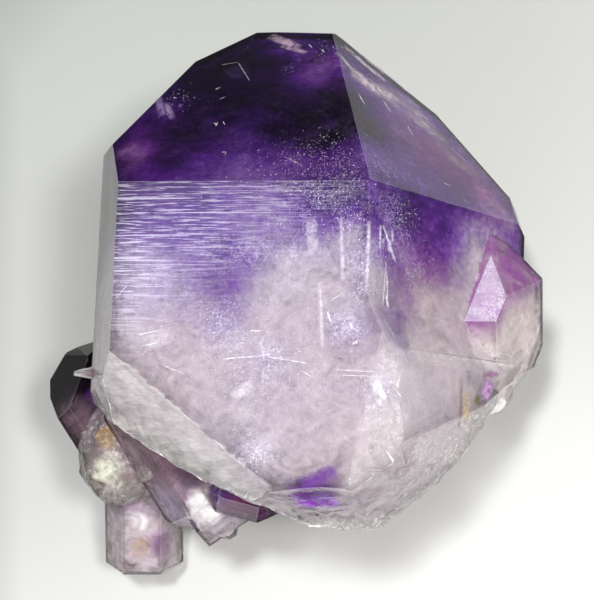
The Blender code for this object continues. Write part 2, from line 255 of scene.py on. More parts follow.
def side_planes(shape, inset):
    """The faces of a smaller crystal, moved in by a depth in millimetres."""
    turn = side_frame(shape)
    middle = MIDDLE + Vector(shape["middle"])
    grown = [(face_way(azimuth, 90.0), far) for azimuth, far in shape["prism"].items()]
    grown += [(face_way(azimuth, TIP_POLAR), far) for azimuth, far in shape["tip"].items()]
    grown += [(face_way(azimuth, 180.0 - TIP_POLAR), far) for azimuth, far in shape["foot"].items()]
    if "foot_end" in shape:
        grown.append((Vector((0, -1, 0)), shape["foot_end"]))
    if "tip_end" in shape:
        grown.append((Vector((0, 1, 0)), shape["tip_end"]))
    planes = [(turn @ way, middle + (turn @ way) * (far - inset)) for way, far in grown]
    for point, way in shape.get("worn", ()):
        way = Vector(way).normalized()
        planes.append((way, MIDDLE + Vector(point) - way * inset))
    return planes


print("smaller crystals", ", ".join(SIDE_CRYSTALS))

# %% [markdown]
# ## Small tools for looks
#
# Every look here is worked out from noise and from values painted on the points of a piece. No picture is
# used. Colours are given as they look on a screen, and turned into linear numbers in one place. How fine a
# pattern is was judged against the stone's size, and is given as the number of its lumps in a millimetre.

# %% Helpers for materials
def hex_colour(text):
    """An sRGB hex colour as linear numbers."""
    parts = [int(text[number : number + 2], 16) / 255 for number in (1, 3, 5)]
    return [part / 12.92 if part <= 0.04045 else ((part + 0.055) / 1.055) ** 2.4 for part in parts] + [1.0]


def new_material(name):
    material = bpy.data.materials.new(name)
    material.use_nodes = True
    tree = material.node_tree
    tree.nodes.clear()
    return material, tree


def add_node(tree, kind, settings, output=0):
    """Adds one node and gives one of its outputs.

    A setting is a property, the stops of a ramp, or an input's number, hex colour or source.
    """
    node = tree.nodes.new("ShaderNode" + kind)
    inputs = [key for key in settings if not isinstance(key, str) or key in node.inputs]
    for key, value in settings.items():
        if key == "stops":
            band = node.color_ramp
            while len(band.elements) < len(value):
                band.elements.new(0.5)
            for element, (place, colour) in zip(band.elements, value):
                element.position = place
                element.color = hex_colour(colour)
        elif key not in inputs:
            setattr(node, key, value)
    for key in inputs:
        value = settings[key]
        if isinstance(value, bpy.types.NodeSocket):
            tree.links.new(value, node.inputs[key])
        else:
            node.inputs[key].default_value = hex_colour(value) if isinstance(value, str) else value
    return node.outputs[output] if node.outputs else None


# %% [markdown]
# ## The clear skin
#
# The outside of a quartz crystal is a pane of natural glass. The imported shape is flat-faced, so it is
# copied as it is. A second copy is kept for the cloudy heart of the small crystals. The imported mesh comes
# as loose triangles, so the skin's are merged, and each flat face becomes one face again.

# %% Skin shape
def copy_solid(name):
    """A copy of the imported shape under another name."""
    piece = solid.copy()
    piece.data = solid.data.copy()
    piece.name = piece.data.name = name
    bpy.context.scene.collection.objects.link(piece)
    return piece


heart = copy_solid("cluster_heart")
skin = copy_solid("crystal_skin")
select_only(skin)
bpy.ops.object.mode_set(mode="EDIT")
bpy.ops.mesh.select_all(action="SELECT")
bpy.ops.mesh.remove_doubles(threshold=1e-5)
bpy.ops.mesh.dissolve_limited(angle_limit=math.radians(0.4))
bpy.ops.object.mode_set(mode="OBJECT")
print("skin", len(skin.data.polygons), "faces")

# %% [markdown]
# ### Worn edges
#
# Where two grown faces meet, the edge of an old crystal is never perfectly sharp: it is bruised to a
# fraction of a millimetre, and the bruise catches the light as a thin pale line. So the edges between grown
# faces get a narrow bevel with a finish of its own, whitened partly as wear and partly as a painted highlight
# for that pale line. The way that a face looks tells whether it grew or broke.

# %% Grown and broken faces of the skin
GROWN_WAYS = [way for way, _ in main_planes(0.0)[:MAIN_GROWN]]
for shape in SIDE_CRYSTALS.values():
    GROWN_WAYS += [way for way, _ in side_planes(shape, 0.0)]
GROWN = np.array(GROWN_WAYS)
SAME_WAY = 0.9996
SQUARE_MM = 1e-6


def is_grown(normal):
    """Whether a face looks the way that one of the crystals' own faces does."""
    return float(np.max(GROWN @ np.array(normal))) > SAME_WAY


def pick(piece, kind, wanted):
    """In edit mode, selects the faces or edges that pass a test, and nothing else."""
    bpy.ops.mesh.select_all(action="DESELECT")
    bpy.ops.mesh.select_mode(type=kind)
    shape = bmesh.from_edit_mesh(piece.data)
    items = shape.faces if kind == "FACE" else shape.edges
    count = 0
    for item in items:
        if wanted(item):
            item.select_set(True)
            count += 1
    bmesh.update_edit_mesh(piece.data)
    return count


LEAST_WORN_FACE, LEAST_WORN_EDGE, LEAST_WORN_ANGLE = 1.5, 0.6, 14
STRIP_WIDTH = 0.04
EDGE_WEAR = 0.06


def crisp_grown_edge(edge):
    """Whether an edge stands out between two large grown faces."""
    if len(edge.link_faces) != 2 or not edge.is_convex:
        return False
    first, second = edge.link_faces
    if min(first.calc_area(), second.calc_area()) < LEAST_WORN_FACE * SQUARE_MM:
        return False
    if edge.calc_length() < LEAST_WORN_EDGE * MM or edge.calc_face_angle() < math.radians(LEAST_WORN_ANGLE):
        return False
    return is_grown(first.normal) and is_grown(second.normal)


def worn_strip(face):
    """Whether a face is one of the narrow ones that a bevel leaves."""
    return not is_grown(face.normal) and face.calc_area() / face.calc_perimeter() < STRIP_WIDTH * MM


# %% Worn edges of the skin
skin.data.materials.clear()
skin_material, skin_tree = new_material("clear quartz, grown and broken faces")
edge_material, edge_tree = new_material("clear quartz, worn edges with painted highlight")
skin.data.materials.append(skin_material)
skin.data.materials.append(edge_material)
bpy.ops.object.mode_set(mode="EDIT")
bpy.ops.mesh.select_all(action="SELECT")
skin.active_material_index = 0
bpy.ops.object.material_slot_assign()
print("worn edges", pick(skin, "EDGE", crisp_grown_edge))
bpy.ops.mesh.bevel(offset=EDGE_WEAR * MM, segments=2, affect="EDGES", clamp_overlap=True)
print("worn strips", pick(skin, "FACE", worn_strip))
skin.active_material_index = 1
bpy.ops.object.material_slot_assign()
bpy.ops.object.mode_set(mode="OBJECT")

# %% [markdown]
# ### Growth rows
#
# Quartz grows by layers that end on the prism faces as fine steps, all square to the long axis. They show
# as rows across the front face, close together near the tip. The face is cut into uneven rows, and each row
# is then sunk by its own small amount, so that the steps are real ones and not painted.

# %% Rows across the faces
def split_face(piece, way, far, row_places, column_places):
    """Cuts one flat face of the large point into rows and columns."""
    up = (Vector((0, 1, 0)) - way * way.y).normalized()
    across = up.cross(way).normalized()
    point = MIDDLE + way * far

    def on_face(face):
        off = (face.calc_center_median() / MM - point).dot(way)
        return face.normal.dot(way) > 0.99999 and abs(off) < 0.02

    for line_way, places in ((up, row_places), (across, column_places)):
        for distance in places:
            if pick(piece, "FACE", on_face):
                bpy.ops.mesh.bisect(
                    plane_co=(MIDDLE + line_way * distance) * MM, plane_no=line_way, threshold=1e-6
                )


def uneven_rows(top, bottom, least, most, seed):
    """Places along the point from top to bottom, at gaps between a least and a most."""
    generator = random.Random(seed)
    rows = [top]
    while rows[-1] > bottom:
        rows.append(rows[-1] - generator.uniform(least, most))
    return rows


# %% Rows of the front and right faces
FRONT_WAY, FRONT_FAR = prism_face(90)
RIGHT_WAY, RIGHT_FAR = prism_face(30)
bpy.ops.object.mode_set(mode="EDIT")
front_rows = uneven_rows(top=30.6, bottom=14.0, least=0.14, most=0.30, seed=7)
front_rows += uneven_rows(top=13.6, bottom=-6.5, least=0.3, most=0.8, seed=8)
right_rows = uneven_rows(top=29.6, bottom=4.0, least=0.4, most=0.9, seed=9)
split_face(skin, FRONT_WAY, FRONT_FAR, front_rows, [number * 1.1 for number in range(-18, 17)])
split_face(skin, RIGHT_WAY, RIGHT_FAR, right_rows, [number * 1.3 for number in range(-12, 13)])
bpy.ops.object.mode_set(mode="OBJECT")
print("skin with rows", len(skin.data.polygons), "faces")

# %% [markdown]
# ### Broken faces
#
# A broken face of quartz is shell-shaped and crumbly. Its packed triangles are split more finely, so that
# there are enough points to move.

# %% Broken faces of the skin
LEAST_BREAK, MOST_BREAK = 0.1, 6.0


def splits(face):
    """Whether a face is a broken one of a size that is split."""
    plain = len(face.verts) < 5 and face.material_index == 0 and not is_grown(face.normal)
    return plain and LEAST_BREAK * SQUARE_MM < face.calc_area() < MOST_BREAK * SQUARE_MM


bpy.ops.object.mode_set(mode="EDIT")
pick(skin, "FACE", splits)
bpy.ops.mesh.subdivide(number_cuts=2)
bpy.ops.object.mode_set(mode="OBJECT")
print("skin with breaks", len(skin.data.polygons), "faces")

# %% [markdown]
# ### Moving the skin's points
#
# The rows are sunk by up to 0.07 mm, more at the top than lower down, and in patches. The broken faces are
# moved by two sizes of lumps, about 1 and 3 mm long, and the rim of the base most of all.

# %% Points of a piece, and noise at them
def points_of(piece):
    """The points of a piece in millimetres, one in each row."""
    flat = np.empty(len(piece.data.vertices) * 3)
    piece.data.vertices.foreach_get("co", flat)
    return flat.reshape(-1, 3) / MM


def set_points(piece, points):
    """Moves the points of a piece to places in millimetres."""
    piece.data.vertices.foreach_set("co", (points * MM).ravel())
    piece.data.update()


def vertex_normals(piece):
    """The outward way at each point of a piece."""
    normals = np.empty(len(piece.data.vertices) * 3)
    piece.data.vertices.foreach_get("normal", normals)
    return normals.reshape(-1, 3)


def cloud_noise(points, length, seed, detail=3):
    """Smooth noise between about -1 and 1 at each point, with lumps of a length in millimetres."""
    shift = Vector((seed * 7.1, seed * 3.7, seed * 5.3))
    return np.array([noise.fractal(Vector(p) / length + shift, 1.0, 2.0, detail) for p in points])


# %% Points of the faces that look one way
def corners_facing(piece, way, degrees, middle, reach):
    """The points of the faces within reach of a place that look one way, give or take some degrees."""
    number = len(piece.data.polygons)
    ways, centres, totals = np.empty(number * 3), np.empty(number * 3), np.empty(number, int)
    piece.data.polygons.foreach_get("normal", ways)
    piece.data.polygons.foreach_get("center", centres)
    piece.data.polygons.foreach_get("loop_total", totals)
    loops = np.empty(len(piece.data.loops), int)
    piece.data.loops.foreach_get("vertex_index", loops)
    way = np.array(Vector(way).normalized())
    facing = ways.reshape(-1, 3) @ way > math.cos(math.radians(degrees))
    facing &= np.linalg.norm(centres.reshape(-1, 3) / MM - middle, axis=1) < reach
    chosen = np.zeros(len(piece.data.vertices), bool)
    chosen[loops[np.repeat(facing, totals)]] = True
    return chosen


def rim_of_base(points, top):
    """1 along the lower rim of the broken base on the right, and 0 above a height along the point."""
    return np.clip((top - points[:, 1]) / 2.4, 0.0, 1.0) * np.clip((points[:, 0] - 1.0) / 4.0, 0.0, 1.0)


# %% Which points may move
FLANK = ((0.37, -0.08, 0.93), 14, (18, -14, 38), 16)
LEAST_FRONT_HEIGHT = 40.0
points = points_of(skin)
on_front, off_front, broken, grown_corner = (np.zeros(len(points), bool) for _ in range(4))
for face in skin.data.polygons:
    corners = list(face.vertices)
    in_front = face.normal.dot(FRONT_WAY) > 0.9999 and face.center.z > LEAST_FRONT_HEIGHT * MM
    (on_front if in_front else off_front)[corners] = True
    grown = is_grown(face.normal) or face.material_index == 1
    (grown_corner if grown else broken)[corners] = True
broken &= ~grown_corner
print("points of the front face", int(on_front.sum()), "and of the breaks", int(broken.sum()))

# %% Relief of the skin
ROW_DEPTH, ROWS_PER_MM, ROW_KINDS = 0.045, 40, 4000
local = points - np.array(MIDDLE)
generator = random.Random(5)
row_depth = np.array([generator.random() for _ in range(ROW_KINDS)])
row_index = np.round(local[:, 1] * ROWS_PER_MM).astype(int) % ROW_KINDS
fade = np.clip((local[:, 1] - 8.0) / 14.0, 0.0, 1.0)
patchy = np.clip(0.7 + 0.9 * cloud_noise(points * (0.35, 1.0, 1.0), 3.0, 11.0, 2), 0.0, 1.6)
depth = (on_front & ~off_front) * row_depth[row_index] * ROW_DEPTH * (0.08 + 0.92 * fade) * patchy
points -= np.array(FRONT_WAY) * depth[:, None]
flank = corners_facing(skin, *FLANK)
crumbs = cloud_noise(points, 0.9, 12.0, 2) * np.where(flank, 0.015, 0.10)
crumbs += cloud_noise(points, 2.6, 13.0, 2) * 0.10
crumbs += rim_of_base(points, -25.4) * cloud_noise(points, 0.8, 19.0, 2) * 0.35
points += vertex_normals(skin) * (broken * crumbs)[:, None]
set_points(skin, points)
print("rows sunk by up to", round(float(depth.max()), 3), "mm")

# %% [markdown]
# ## Colour zones
#
# Amethyst isn't violet all through. The colour lies in layers under the tip faces, laid down last, and it
# fades towards the milky foot. So one function gives the strength of the violet at any place: it falls with
# the depth under the nearest tip face, is bent by noise, and named spots make it deeper or paler where the
# stone has a dark patch or a milky one.

# %% Where the violet is deeper
DEEP = {
    "dark middle of the front tip face": (5.0, 19.5, 34.0, 6.5, 0.55),
    "dark by its right edge": (9.5, 18.5, 35.5, 4.5, 0.35),
    "dark upper left": (-5.5, 26.5, 29.0, 7.5, 0.42),
    "dark left of the middle": (-8.5, 17.5, 36.0, 4.2, 0.30),
    "dark low left": (-10.5, 12.5, 40.0, 3.2, 0.25),
    "top of the right face": (18.5, 7.6, 37.5, 4.0, 0.06),
    "right face, far corner": (21.5, 7.6, 31.5, 4.0, 0.12),
    "top right of the front face": (11.0, 8.2, 42.3, 3.6, 0.16),
    "patch on the front face": (-1.5, -0.5, 42.0, 3.3, 0.20),
    "patch above it": (-4.4, 3.5, 42.0, 4.4, 0.12),
    "patch below it": (-1.2, -5.5, 42.0, 3.0, 0.17),
    "right of the long crack": (13.4, -9.6, 42.0, 2.6, 0.20),
    "wedge on the right face": (18.3, -6.6, 38.6, 2.3, 0.42),
    "patch by the base": (10.0, -24.6, 40.4, 1.9, 0.50),
    "patch by the base, right": (12.4, -24.4, 40.0, 1.7, 0.42),
    "patch by the base, low": (9.6, -26.0, 38.0, 2.6, 0.6),
    "left face, top": (-16.5, 7.0, 33.0, 5.0, 0.75),
    "left face, behind": (-18.0, 3.0, 27.0, 6.0, 0.40),
    "top left of the tip face": (-12.0, 18.0, 34.0, 4.0, 0.18),
    "tip face, left edge": (-8.0, 24.0, 31.0, 4.0, 0.15),
    "haze beside it": (13.2, -25.8, 38.0, 2.6, 0.18),
    "left end of the tip face": (-17.5, 14.5, 34.0, 4.5, 0.16),
    "right face, under the edge": (19.0, 8.4, 36.4, 3.4, 0.16),
    "right face, middle": (20.6, 0.5, 34.6, 4.2, 0.22),
    "right tip face, lower edge": (22.0, 12.4, 27.0, 4.0, 0.14),
    "top face on the right, middle": (16.8, 17.6, 28.5, 4.0, 0.03),
    "top face on the right, left side": (11.6, 20.0, 32.0, 4.5, 0.10),
}
print("deeper spots", len(DEEP))

# %% Where it is paler
PALE = {
    "left corner of the front tip face": (-14.6, 14.0, 39.0, 3.6, 0.42),
    "feathers above it": (-13.2, 20.6, 34.0, 2.6, 0.35),
    "below the tip": (4.4, 27.2, 28.8, 3.4, 0.34),
    "veins by the tip": (-0.6, 31.6, 25.2, 2.4, 0.45),
    "low band of the tip face": (1.0, 12.8, 40.0, 3.6, 0.10),
    "low right of the tip face": (7.5, 12.8, 40.2, 3.6, 0.12),
    "low band, left": (-6.0, 11.6, 40.8, 3.0, 0.08),
    "milk under the front face": (7.4, -1.5, 42.0, 5.6, 0.22),
    "front face, right edge": (13.4, 3.6, 42.2, 3.4, 0.26),
    "milk below it": (6.5, -9.0, 42.0, 6.0, 0.22),
    "speckled right edge": (13.8, -0.5, 42.0, 3.0, 0.24),
    "left edge": (-12.5, -3.0, 42.0, 5.0, 0.26),
    "front face, top middle": (4.5, 5.0, 42.3, 3.6, 0.16),
    "front face, under the tip": (1.0, 7.8, 42.4, 4.4, 0.28),
    "band on the right tip face": (12.0, 25.4, 23.8, 2.8, 0.34),
    "right tip face, upper edge": (15.6, 24.0, 20.6, 2.6, 0.18),
    "right tip face, far corner": (26.0, 12.0, 20.8, 3.8, 0.14),
    "right tip face, pale band": (18.6, 20.4, 21.6, 2.6, 0.20),
    "right face, far end": (25.4, 6.0, 25.0, 4.6, 0.30),
    "right face, lower half": (21.5, -6.0, 33.0, 7.0, 0.26),
    "broken flank": (20.5, -18.0, 34.0, 7.0, 0.52),
    "low middle": (7.0, -19.0, 41.0, 6.0, 0.14),
}
print("paler spots", len(PALE))

# %% How strong the violet is
TIP_FACES = {azimuth: (face_way(azimuth, TIP_POLAR), far) for azimuth, far in MAIN_TIP.items()}
ZONE_START, ZONE_DEPTH = 1.0, 15.0
ZONE_STRENGTH, ZONE_FADE = 0.66, 1.25


def blobs(points, spots):
    """How far a point lies inside soft spots, each (x, y, z, radius, strength)."""
    total = np.zeros(len(points))
    for x, y, z, radius, strength in spots.values():
        away = np.linalg.norm(points - (x, y, z), axis=1) / radius
        total += strength * np.exp(-away * away)
    return total


def under(points, way, far):
    """How deep each point lies under a face of the large point, in millimetres."""
    return far - (points - np.array(MIDDLE)) @ np.array(way)


def depth_under_tip(points):
    """How deep each point lies under the nearest tip face."""
    return np.min([under(points, way, far) for way, far in TIP_FACES.values()], axis=0)


def violet_at(points):
    """0 in milky quartz, 0.6 in full violet and 1 where it looks black."""
    bend = [cloud_noise(points, 3.2, 30.0 + number, 3) for number in range(3)]
    bent = points + np.stack(bend, axis=1) * 1.5
    wave = cloud_noise(points, 8.0, 1.0)
    fine = cloud_noise(points, 2.4, 2.0)
    depth = depth_under_tip(points) + 3.0 * wave + 1.2 * fine
    zone = 1.0 - np.clip((depth - ZONE_START) / ZONE_DEPTH, 0.0, 1.0)
    zone = ZONE_STRENGTH * zone ** ZONE_FADE
    under_front, under_right = under(points, FRONT_WAY, FRONT_FAR), under(points, RIGHT_WAY, RIGHT_FAR)
    nearest = np.minimum(depth_under_tip(points), under_front)
    beside = np.clip((under_front - under_right) / 1.2 + 0.5, 0.0, 1.0)
    beside *= np.clip((points[:, 1] + 4.0) / 8.0, 0.0, 1.0)
    above = np.clip((nearest - under(points, *TIP_FACES[30])) / 1.2 + 1.0, 0.0, 1.0)
    above *= np.clip((points[:, 0] - 6.0) / 4.0, 0.0, 1.0)
    spots = blobs(bent, DEEP) - blobs(bent, PALE)
    return np.clip(zone + 0.12 * beside - 0.22 * above + spots + 0.07 * fine, 0.0, 1.0)


dark_place = DEEP["dark middle of the front tip face"][:3]
print("violet in the dark middle", round(float(violet_at(np.array([dark_place]))[0]), 2))

# %% [markdown]
# ### Where the violet is warmer
#
# Some patches lean to magenta instead of blue. They are named spots too.

# %% Pink in the large point
PINK = {
    "left corner of the front tip face": (-14.6, 14.6, 38.6, 5.0, 0.75),
    "below the tip": (5.0, 27.5, 28.4, 3.4, 0.55),
    "by the right edge of the tip face": (7.8, 22.5, 31.6, 2.2, 0.7),
    "low right": (8.0, 13.0, 39.8, 3.8, 0.45),
    "right tip face, lower corner": (24.5, 13.0, 21.5, 5.0, 0.7),
    "right tip face, middle": (16.4, 18.4, 27.0, 5.0, 0.75),
    "right tip face, right": (20.6, 16.4, 23.6, 5.0, 0.8),
    "right face, low": (22.0, -5.0, 32.0, 7.0, 0.6),
    "right face, middle": (20.5, 1.0, 35.0, 5.0, 0.6),
    "right of the long crack": (13.4, -10.5, 42.0, 3.0, 0.4),
    "low left of the front face": (-7.0, -10.0, 42.0, 6.0, 0.35),
    "by the base": (16.0, -20.0, 40.0, 7.0, 0.3),
    "patch by the base": (10.4, -25.0, 40.0, 3.6, 0.5),
}
print("warmer spots", len(PINK))

# %% [markdown]
# ## The finish of the skin
#
# It is plain quartz: it lets light through, bends it by 1.544, and takes a little green out of it on the way.
# Five painted values say where it is not clear. Lines are the etched growth rows, blue-white: partly etch,
# and partly a painted glint with a painted blue reflection of light on the steps. Grain is pitted skin:
# winding marks and specks. Broken is crumbled quartz, the scar is a torn, silky face, and chalk is crushed
# white quartz on a chipped corner and along the rim. One face of the crystal on the right gets grain, scar
# and chalk as a painted glint. Each turns some of the glass into a white, rougher surface, and the eye reads
# it as frost; the painted glint reads as light caught on the face.

# %% Where the skin is lined and grained
# Lines mark etched rows. Their white is also a painted glint of light on the rows.
ETCHED_AND_GLINT_LINES = {
    "left top": (-12.6, 6.4, 42.4, 6.2, 0.68),
    "left, lower": (-13.2, 0.0, 42.4, 5.6, 0.7),
    "middle top": (-4.4, 7.4, 42.4, 5.2, 0.52),
    "right of it": (3.4, 7.6, 42.4, 5.0, 0.42),
    "right top": (10.5, 8.0, 42.4, 4.5, 0.26),
    "middle": (-3.0, 2.5, 42.4, 5.0, 0.5),
    "far left, low": (-12.0, -5.0, 42.4, 4.6, 0.5),
}
GRAIN = {
    "right edge": (14.7, 0.6, 42.4, 1.9, 1.0),
    "right edge, below": (14.6, -2.6, 42.4, 1.6, 0.7),
    "right top": (12.8, 6.0, 42.4, 3.0, 0.5),
    "right top, left part": (8.5, 7.4, 42.4, 3.0, 0.4),
    "feather": (13.6, -7.2, 42.3, 2.0, 0.8),
    "middle": (5.0, 1.0, 42.4, 6.0, 0.42),
    "left": (-8.0, -2.0, 42.4, 6.0, 0.42),
    "dull patch": (-0.8, -7.6, 42.3, 2.6, 0.75),
    "chain": (4.5, -11.0, 42.3, 2.6, 0.45),
    "star": (3.9, -21.4, 42.0, 2.2, 0.6),
    "low": (6.0, -14.0, 42.2, 9.0, 0.28),
    "low right": (17.6, -14.4, 42.2, 2.0, 0.7),
    "right face, top": (17.8, 7.2, 38.8, 2.2, 0.5),
    "right face, streak": (17.0, 2.4, 39.8, 1.6, 0.9),
    "right face, middle": (19.4, 1.6, 36.2, 2.2, 0.5),
    "right face, low": (22.0, -7.0, 33.0, 6.0, 0.15),
}
print("named patches of the skin", len(ETCHED_AND_GLINT_LINES) + len(GRAIN))

# %% Painting a value on the points
def paint(piece, name, values):
    """Writes a number, or a colour, to each point of a piece."""
    values = np.asarray(values, dtype=np.float32)
    kind, slot = ("FLOAT", "value") if values.ndim == 1 else ("FLOAT_COLOR", "color")
    layer = piece.data.attributes.get(name) or piece.data.attributes.new(name, kind, "POINT")
    layer.data.foreach_set(slot, values.ravel())


# %% Painting the skin
SCAR = ((-0.43, -0.58, 0.69), 22, (-6, -17, 40), 14)
# Painted glint: one face of the crystal on the right is whitened where it would mirror the light.
PAINTED_GLINT_FACE = ((0.14, 0.18, 0.97), 4, (26, 0, 27), 6)
SIDE = ((0.88, -0.38, 0.29), 16, (25, -16, 30), 9)
CHIP, CHIP_SIZE = (28.6, -14.6, 21.4), 3.2
points = points_of(skin)
flank, scar, painted_glint_face, side = (corners_facing(skin, *face) for face in (FLANK, SCAR, PAINTED_GLINT_FACE, SIDE))
chip = broken & (np.linalg.norm(points - CHIP, axis=1) < CHIP_SIZE)
window = np.exp(-((points[:, 0] - 9.8) / 4.4) ** 2) * np.clip((points[:, 2] - 31.5) / 3.0, 0.0, 1.0)
rim = rim_of_base(points, -26.4) * (1.0 - window)
frost = np.where(side, 0.50, np.where(flank, 0.26, np.where(scar, 0.0, 0.42)))
frost = (frost * (1.0 - 0.9 * window) + rim * 0.4) * (0.8 + 0.5 * cloud_noise(points, 3.0, 14.0))
torn = scar * (0.9 + 0.5 * cloud_noise(points, 4.0, 15.0))
# Chalk, grain and scar on that face of the right crystal are a painted glint, not frost.
white = 1.3 * chip + 0.12 * painted_glint_face + 0.12 * (flank | side) + 0.32 * rim
# Lines are etched rows and partly a painted glint of light on them.
paint(skin, "lines", blobs(points, ETCHED_AND_GLINT_LINES) * on_front)
paint(skin, "chalk", np.clip(white, 0.0, 1.0))
paint(skin, "grain", blobs(points, GRAIN) + 0.5 * painted_glint_face)
paint(skin, "broken", np.clip(broken * frost, 0.0, 1.0))
paint(skin, "scar", np.clip(torn, 0.0, 1.0) + 0.4 * painted_glint_face)
print("chipped points", int(chip.sum()), "and scar points", int(scar.sum()))

# %% Clumps and winding lines
def clumps(tree, here, per_mm, low, high, detail=4.0, rough=0.6, bend=0.0):
    """Noise with some lumps in each millimetre, made 0 where it is below low and 1 above high."""
    look = {"Vector": here, "Scale": per_mm / MM, "Detail": detail, "Roughness": rough, "Distortion": bend}
    pattern = add_node(tree, "TexNoise", look, "Fac")
    return add_node(tree, "MapRange", {"Value": pattern, "From Min": low, "From Max": high})


def healed_cracks(tree, here, per_mm, width):
    """Thin winding lines, like healed cracks seen edge-on."""
    look = {"Vector": here, "Scale": per_mm / MM, "Detail": 3.0, "Roughness": 0.6}
    pattern = add_node(tree, "TexNoise", look, "Fac")
    centred = add_node(tree, "Math", {"operation": "SUBTRACT", 0: pattern, 1: 0.5})
    away = add_node(tree, "Math", {"operation": "ABSOLUTE", 0: centred})
    line = {"Value": away, "From Min": width * 0.3, "From Max": width, "To Min": 1.0, "To Max": 0.0}
    return add_node(tree, "MapRange", line)


# %% Patterns of the skin
def frosting(tree, here, edge):
    """How white the quartz is (frost and painted glint), how high its marks stand, and its painted
    reflection.
    """
    fine_way = add_node(tree, "Mapping", {"Vector": here, "Scale": (0.045, 1.0, 1.0)})
    long_way = add_node(tree, "Mapping", {"Vector": here, "Scale": (0.012, 1.0, 1.0)})
    torn_way = add_node(tree, "Mapping", {"Vector": here, "Rotation": (0, 0, 0.7), "Scale": (0.10, 1.0, 0.4)})
    fine_lines = clumps(tree, fine_way, 6.2, low=0.52, high=0.60, detail=3.0, rough=0.62)
    long_lines = clumps(tree, long_way, 3.0, low=0.62, high=0.66, detail=2.0, rough=0.5)
    torn_lines = clumps(tree, torn_way, 1.5, low=0.40, high=0.64, detail=5.0, rough=0.62)
    grains = clumps(tree, here, 1.7, low=0.52, high=0.62, detail=4.0, rough=0.65)
    drift = clumps(tree, here, 0.26, low=0.34, high=0.66, detail=4.0, rough=0.6, bend=0.6)
    marks = healed_cracks(tree, here, 1.9, 0.028)

    fine_rows = add_node(tree, "Math", {"operation": "MULTIPLY", 0: fine_lines, 1: 0.55})
    long_rows = add_node(tree, "Math", {"operation": "MULTIPLY", 0: long_lines, 1: 0.65})
    rows = add_node(tree, "Math", {"operation": "MAXIMUM", 0: fine_rows, 1: long_rows})
    rows = add_node(tree, "Math", {"operation": "MULTIPLY_ADD", 0: rows, 1: 0.9, 2: 0.06})
    specks = add_node(tree, "Math", {"operation": "MULTIPLY_ADD", 0: grains, 1: 0.4, 2: marks})
    specks = add_node(tree, "Math", {"operation": "MULTIPLY", 0: specks, 1: drift})
    crumbs = add_node(tree, "Math", {"operation": "MULTIPLY_ADD", 0: grains, 1: 0.7, 2: 0.3})
    silk = add_node(tree, "Math", {"operation": "MULTIPLY_ADD", 0: torn_lines, 1: 0.28, 2: 0.37})
    patterns = {"lines": rows, "grain": specks, "broken": crumbs, "scar": silk, "chalk": 1.0}
    painted = {name: add_node(tree, "Attribute", {"attribute_name": name}, "Fac") for name in patterns}
    # On worn edges the white is partly wear and partly a painted highlight of the edge catching the light.
    worn = {"operation": "MULTIPLY_ADD", 0: drift, 1: 0.5, 2: 0.2}
    white = add_node(tree, "Math", worn) if edge else 0.0
    for name, pattern in patterns.items():
        layer = {"operation": "MULTIPLY_ADD", "use_clamp": True, 0: painted[name], 1: pattern, 2: white}
        white = add_node(tree, "Math", layer)

    lined = add_node(tree, "Math", {"operation": "MULTIPLY", 0: painted["lines"], 1: rows})
    pits = add_node(tree, "Math", {"operation": "ADD", 0: painted["broken"], 1: 0.02})
    pits = add_node(tree, "Math", {"operation": "MULTIPLY", 0: grains, 1: pits})
    height = add_node(tree, "Math", {"operation": "MULTIPLY_ADD", 0: lined, 1: 0.6, 2: pits})
    # Painted reflection: where lines or grain are painted, the white turns blue, as if mirroring cool light.
    painted_reflection_tint = {"operation": "ADD", "use_clamp": True, 0: painted["lines"], 1: painted["grain"]}
    return white, height, add_node(tree, "Math", painted_reflection_tint)


# %% Finish of the skin
QUARTZ_IOR = 1.544
ABSORBED, DENSITY = "#dcc4e6", 14.0


def finish_quartz(tree, edge):
    """Clear quartz: frosted where lines, grain or a break are painted, part of it painted glint, glossy
    elsewhere.
    """
    here = add_node(tree, "TexCoord", {}, "Object")
    white, height, painted_reflection_tint = frosting(tree, here, edge)
    surface = {
        "Base Color": add_node(tree, "Mix", {"data_type": "RGBA", 0: painted_reflection_tint, 6: "#f3f1ef", 7: "#dfd8f6"}, 2),
        "IOR": QUARTZ_IOR,
        "Transmission Weight": add_node(tree, "Math", {"operation": "SUBTRACT", 0: 1.0, 1: white}),
        "Roughness": add_node(tree, "Math", {"operation": "MULTIPLY_ADD", 0: white, 1: 0.4, 2: 0.03}),
        "Normal": add_node(tree, "Bump", {"Height": height, "Strength": 0.3, "Distance": 0.0001}),
    }
    shader = add_node(tree, "BsdfPrincipled", surface)
    inside = add_node(tree, "VolumeAbsorption", {"Color": ABSORBED, "Density": DENSITY})
    add_node(tree, "OutputMaterial", {"Surface": shader, "Volume": inside})


finish_quartz(skin_tree, False)
finish_quartz(edge_tree, True)
skin.visible_shadow = False
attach(skin, "root")
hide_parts("amethyst_crystal")
print("finish of the skin", len(skin_tree.nodes), "nodes")

# %% [markdown]
# ## Clouds inside
#
# What looks like milk is a haze of bubbles far too small to see. Real haze fills the stone. Here it is laid
# as four shells, each cut by the same faces as the crystal and moved in, the outer three with holes, the
# innermost closed. Looking through one shell at the next gives the depth. Each shell is painted with the
# violet and pink at its own points, and noise in the material adds the finer mottling. There is no shine on
# them, because they aren't surfaces.

# %% An even net, and the last step of each piece
def dense(piece, voxel):
    """Turns a piece into an even net of small faces, so that it can be bent and painted."""
    step = piece.modifiers.new("dense", "REMESH")
    step.mode = "VOXEL"
    step.voxel_size = voxel * MM
    apply_modifiers(piece)


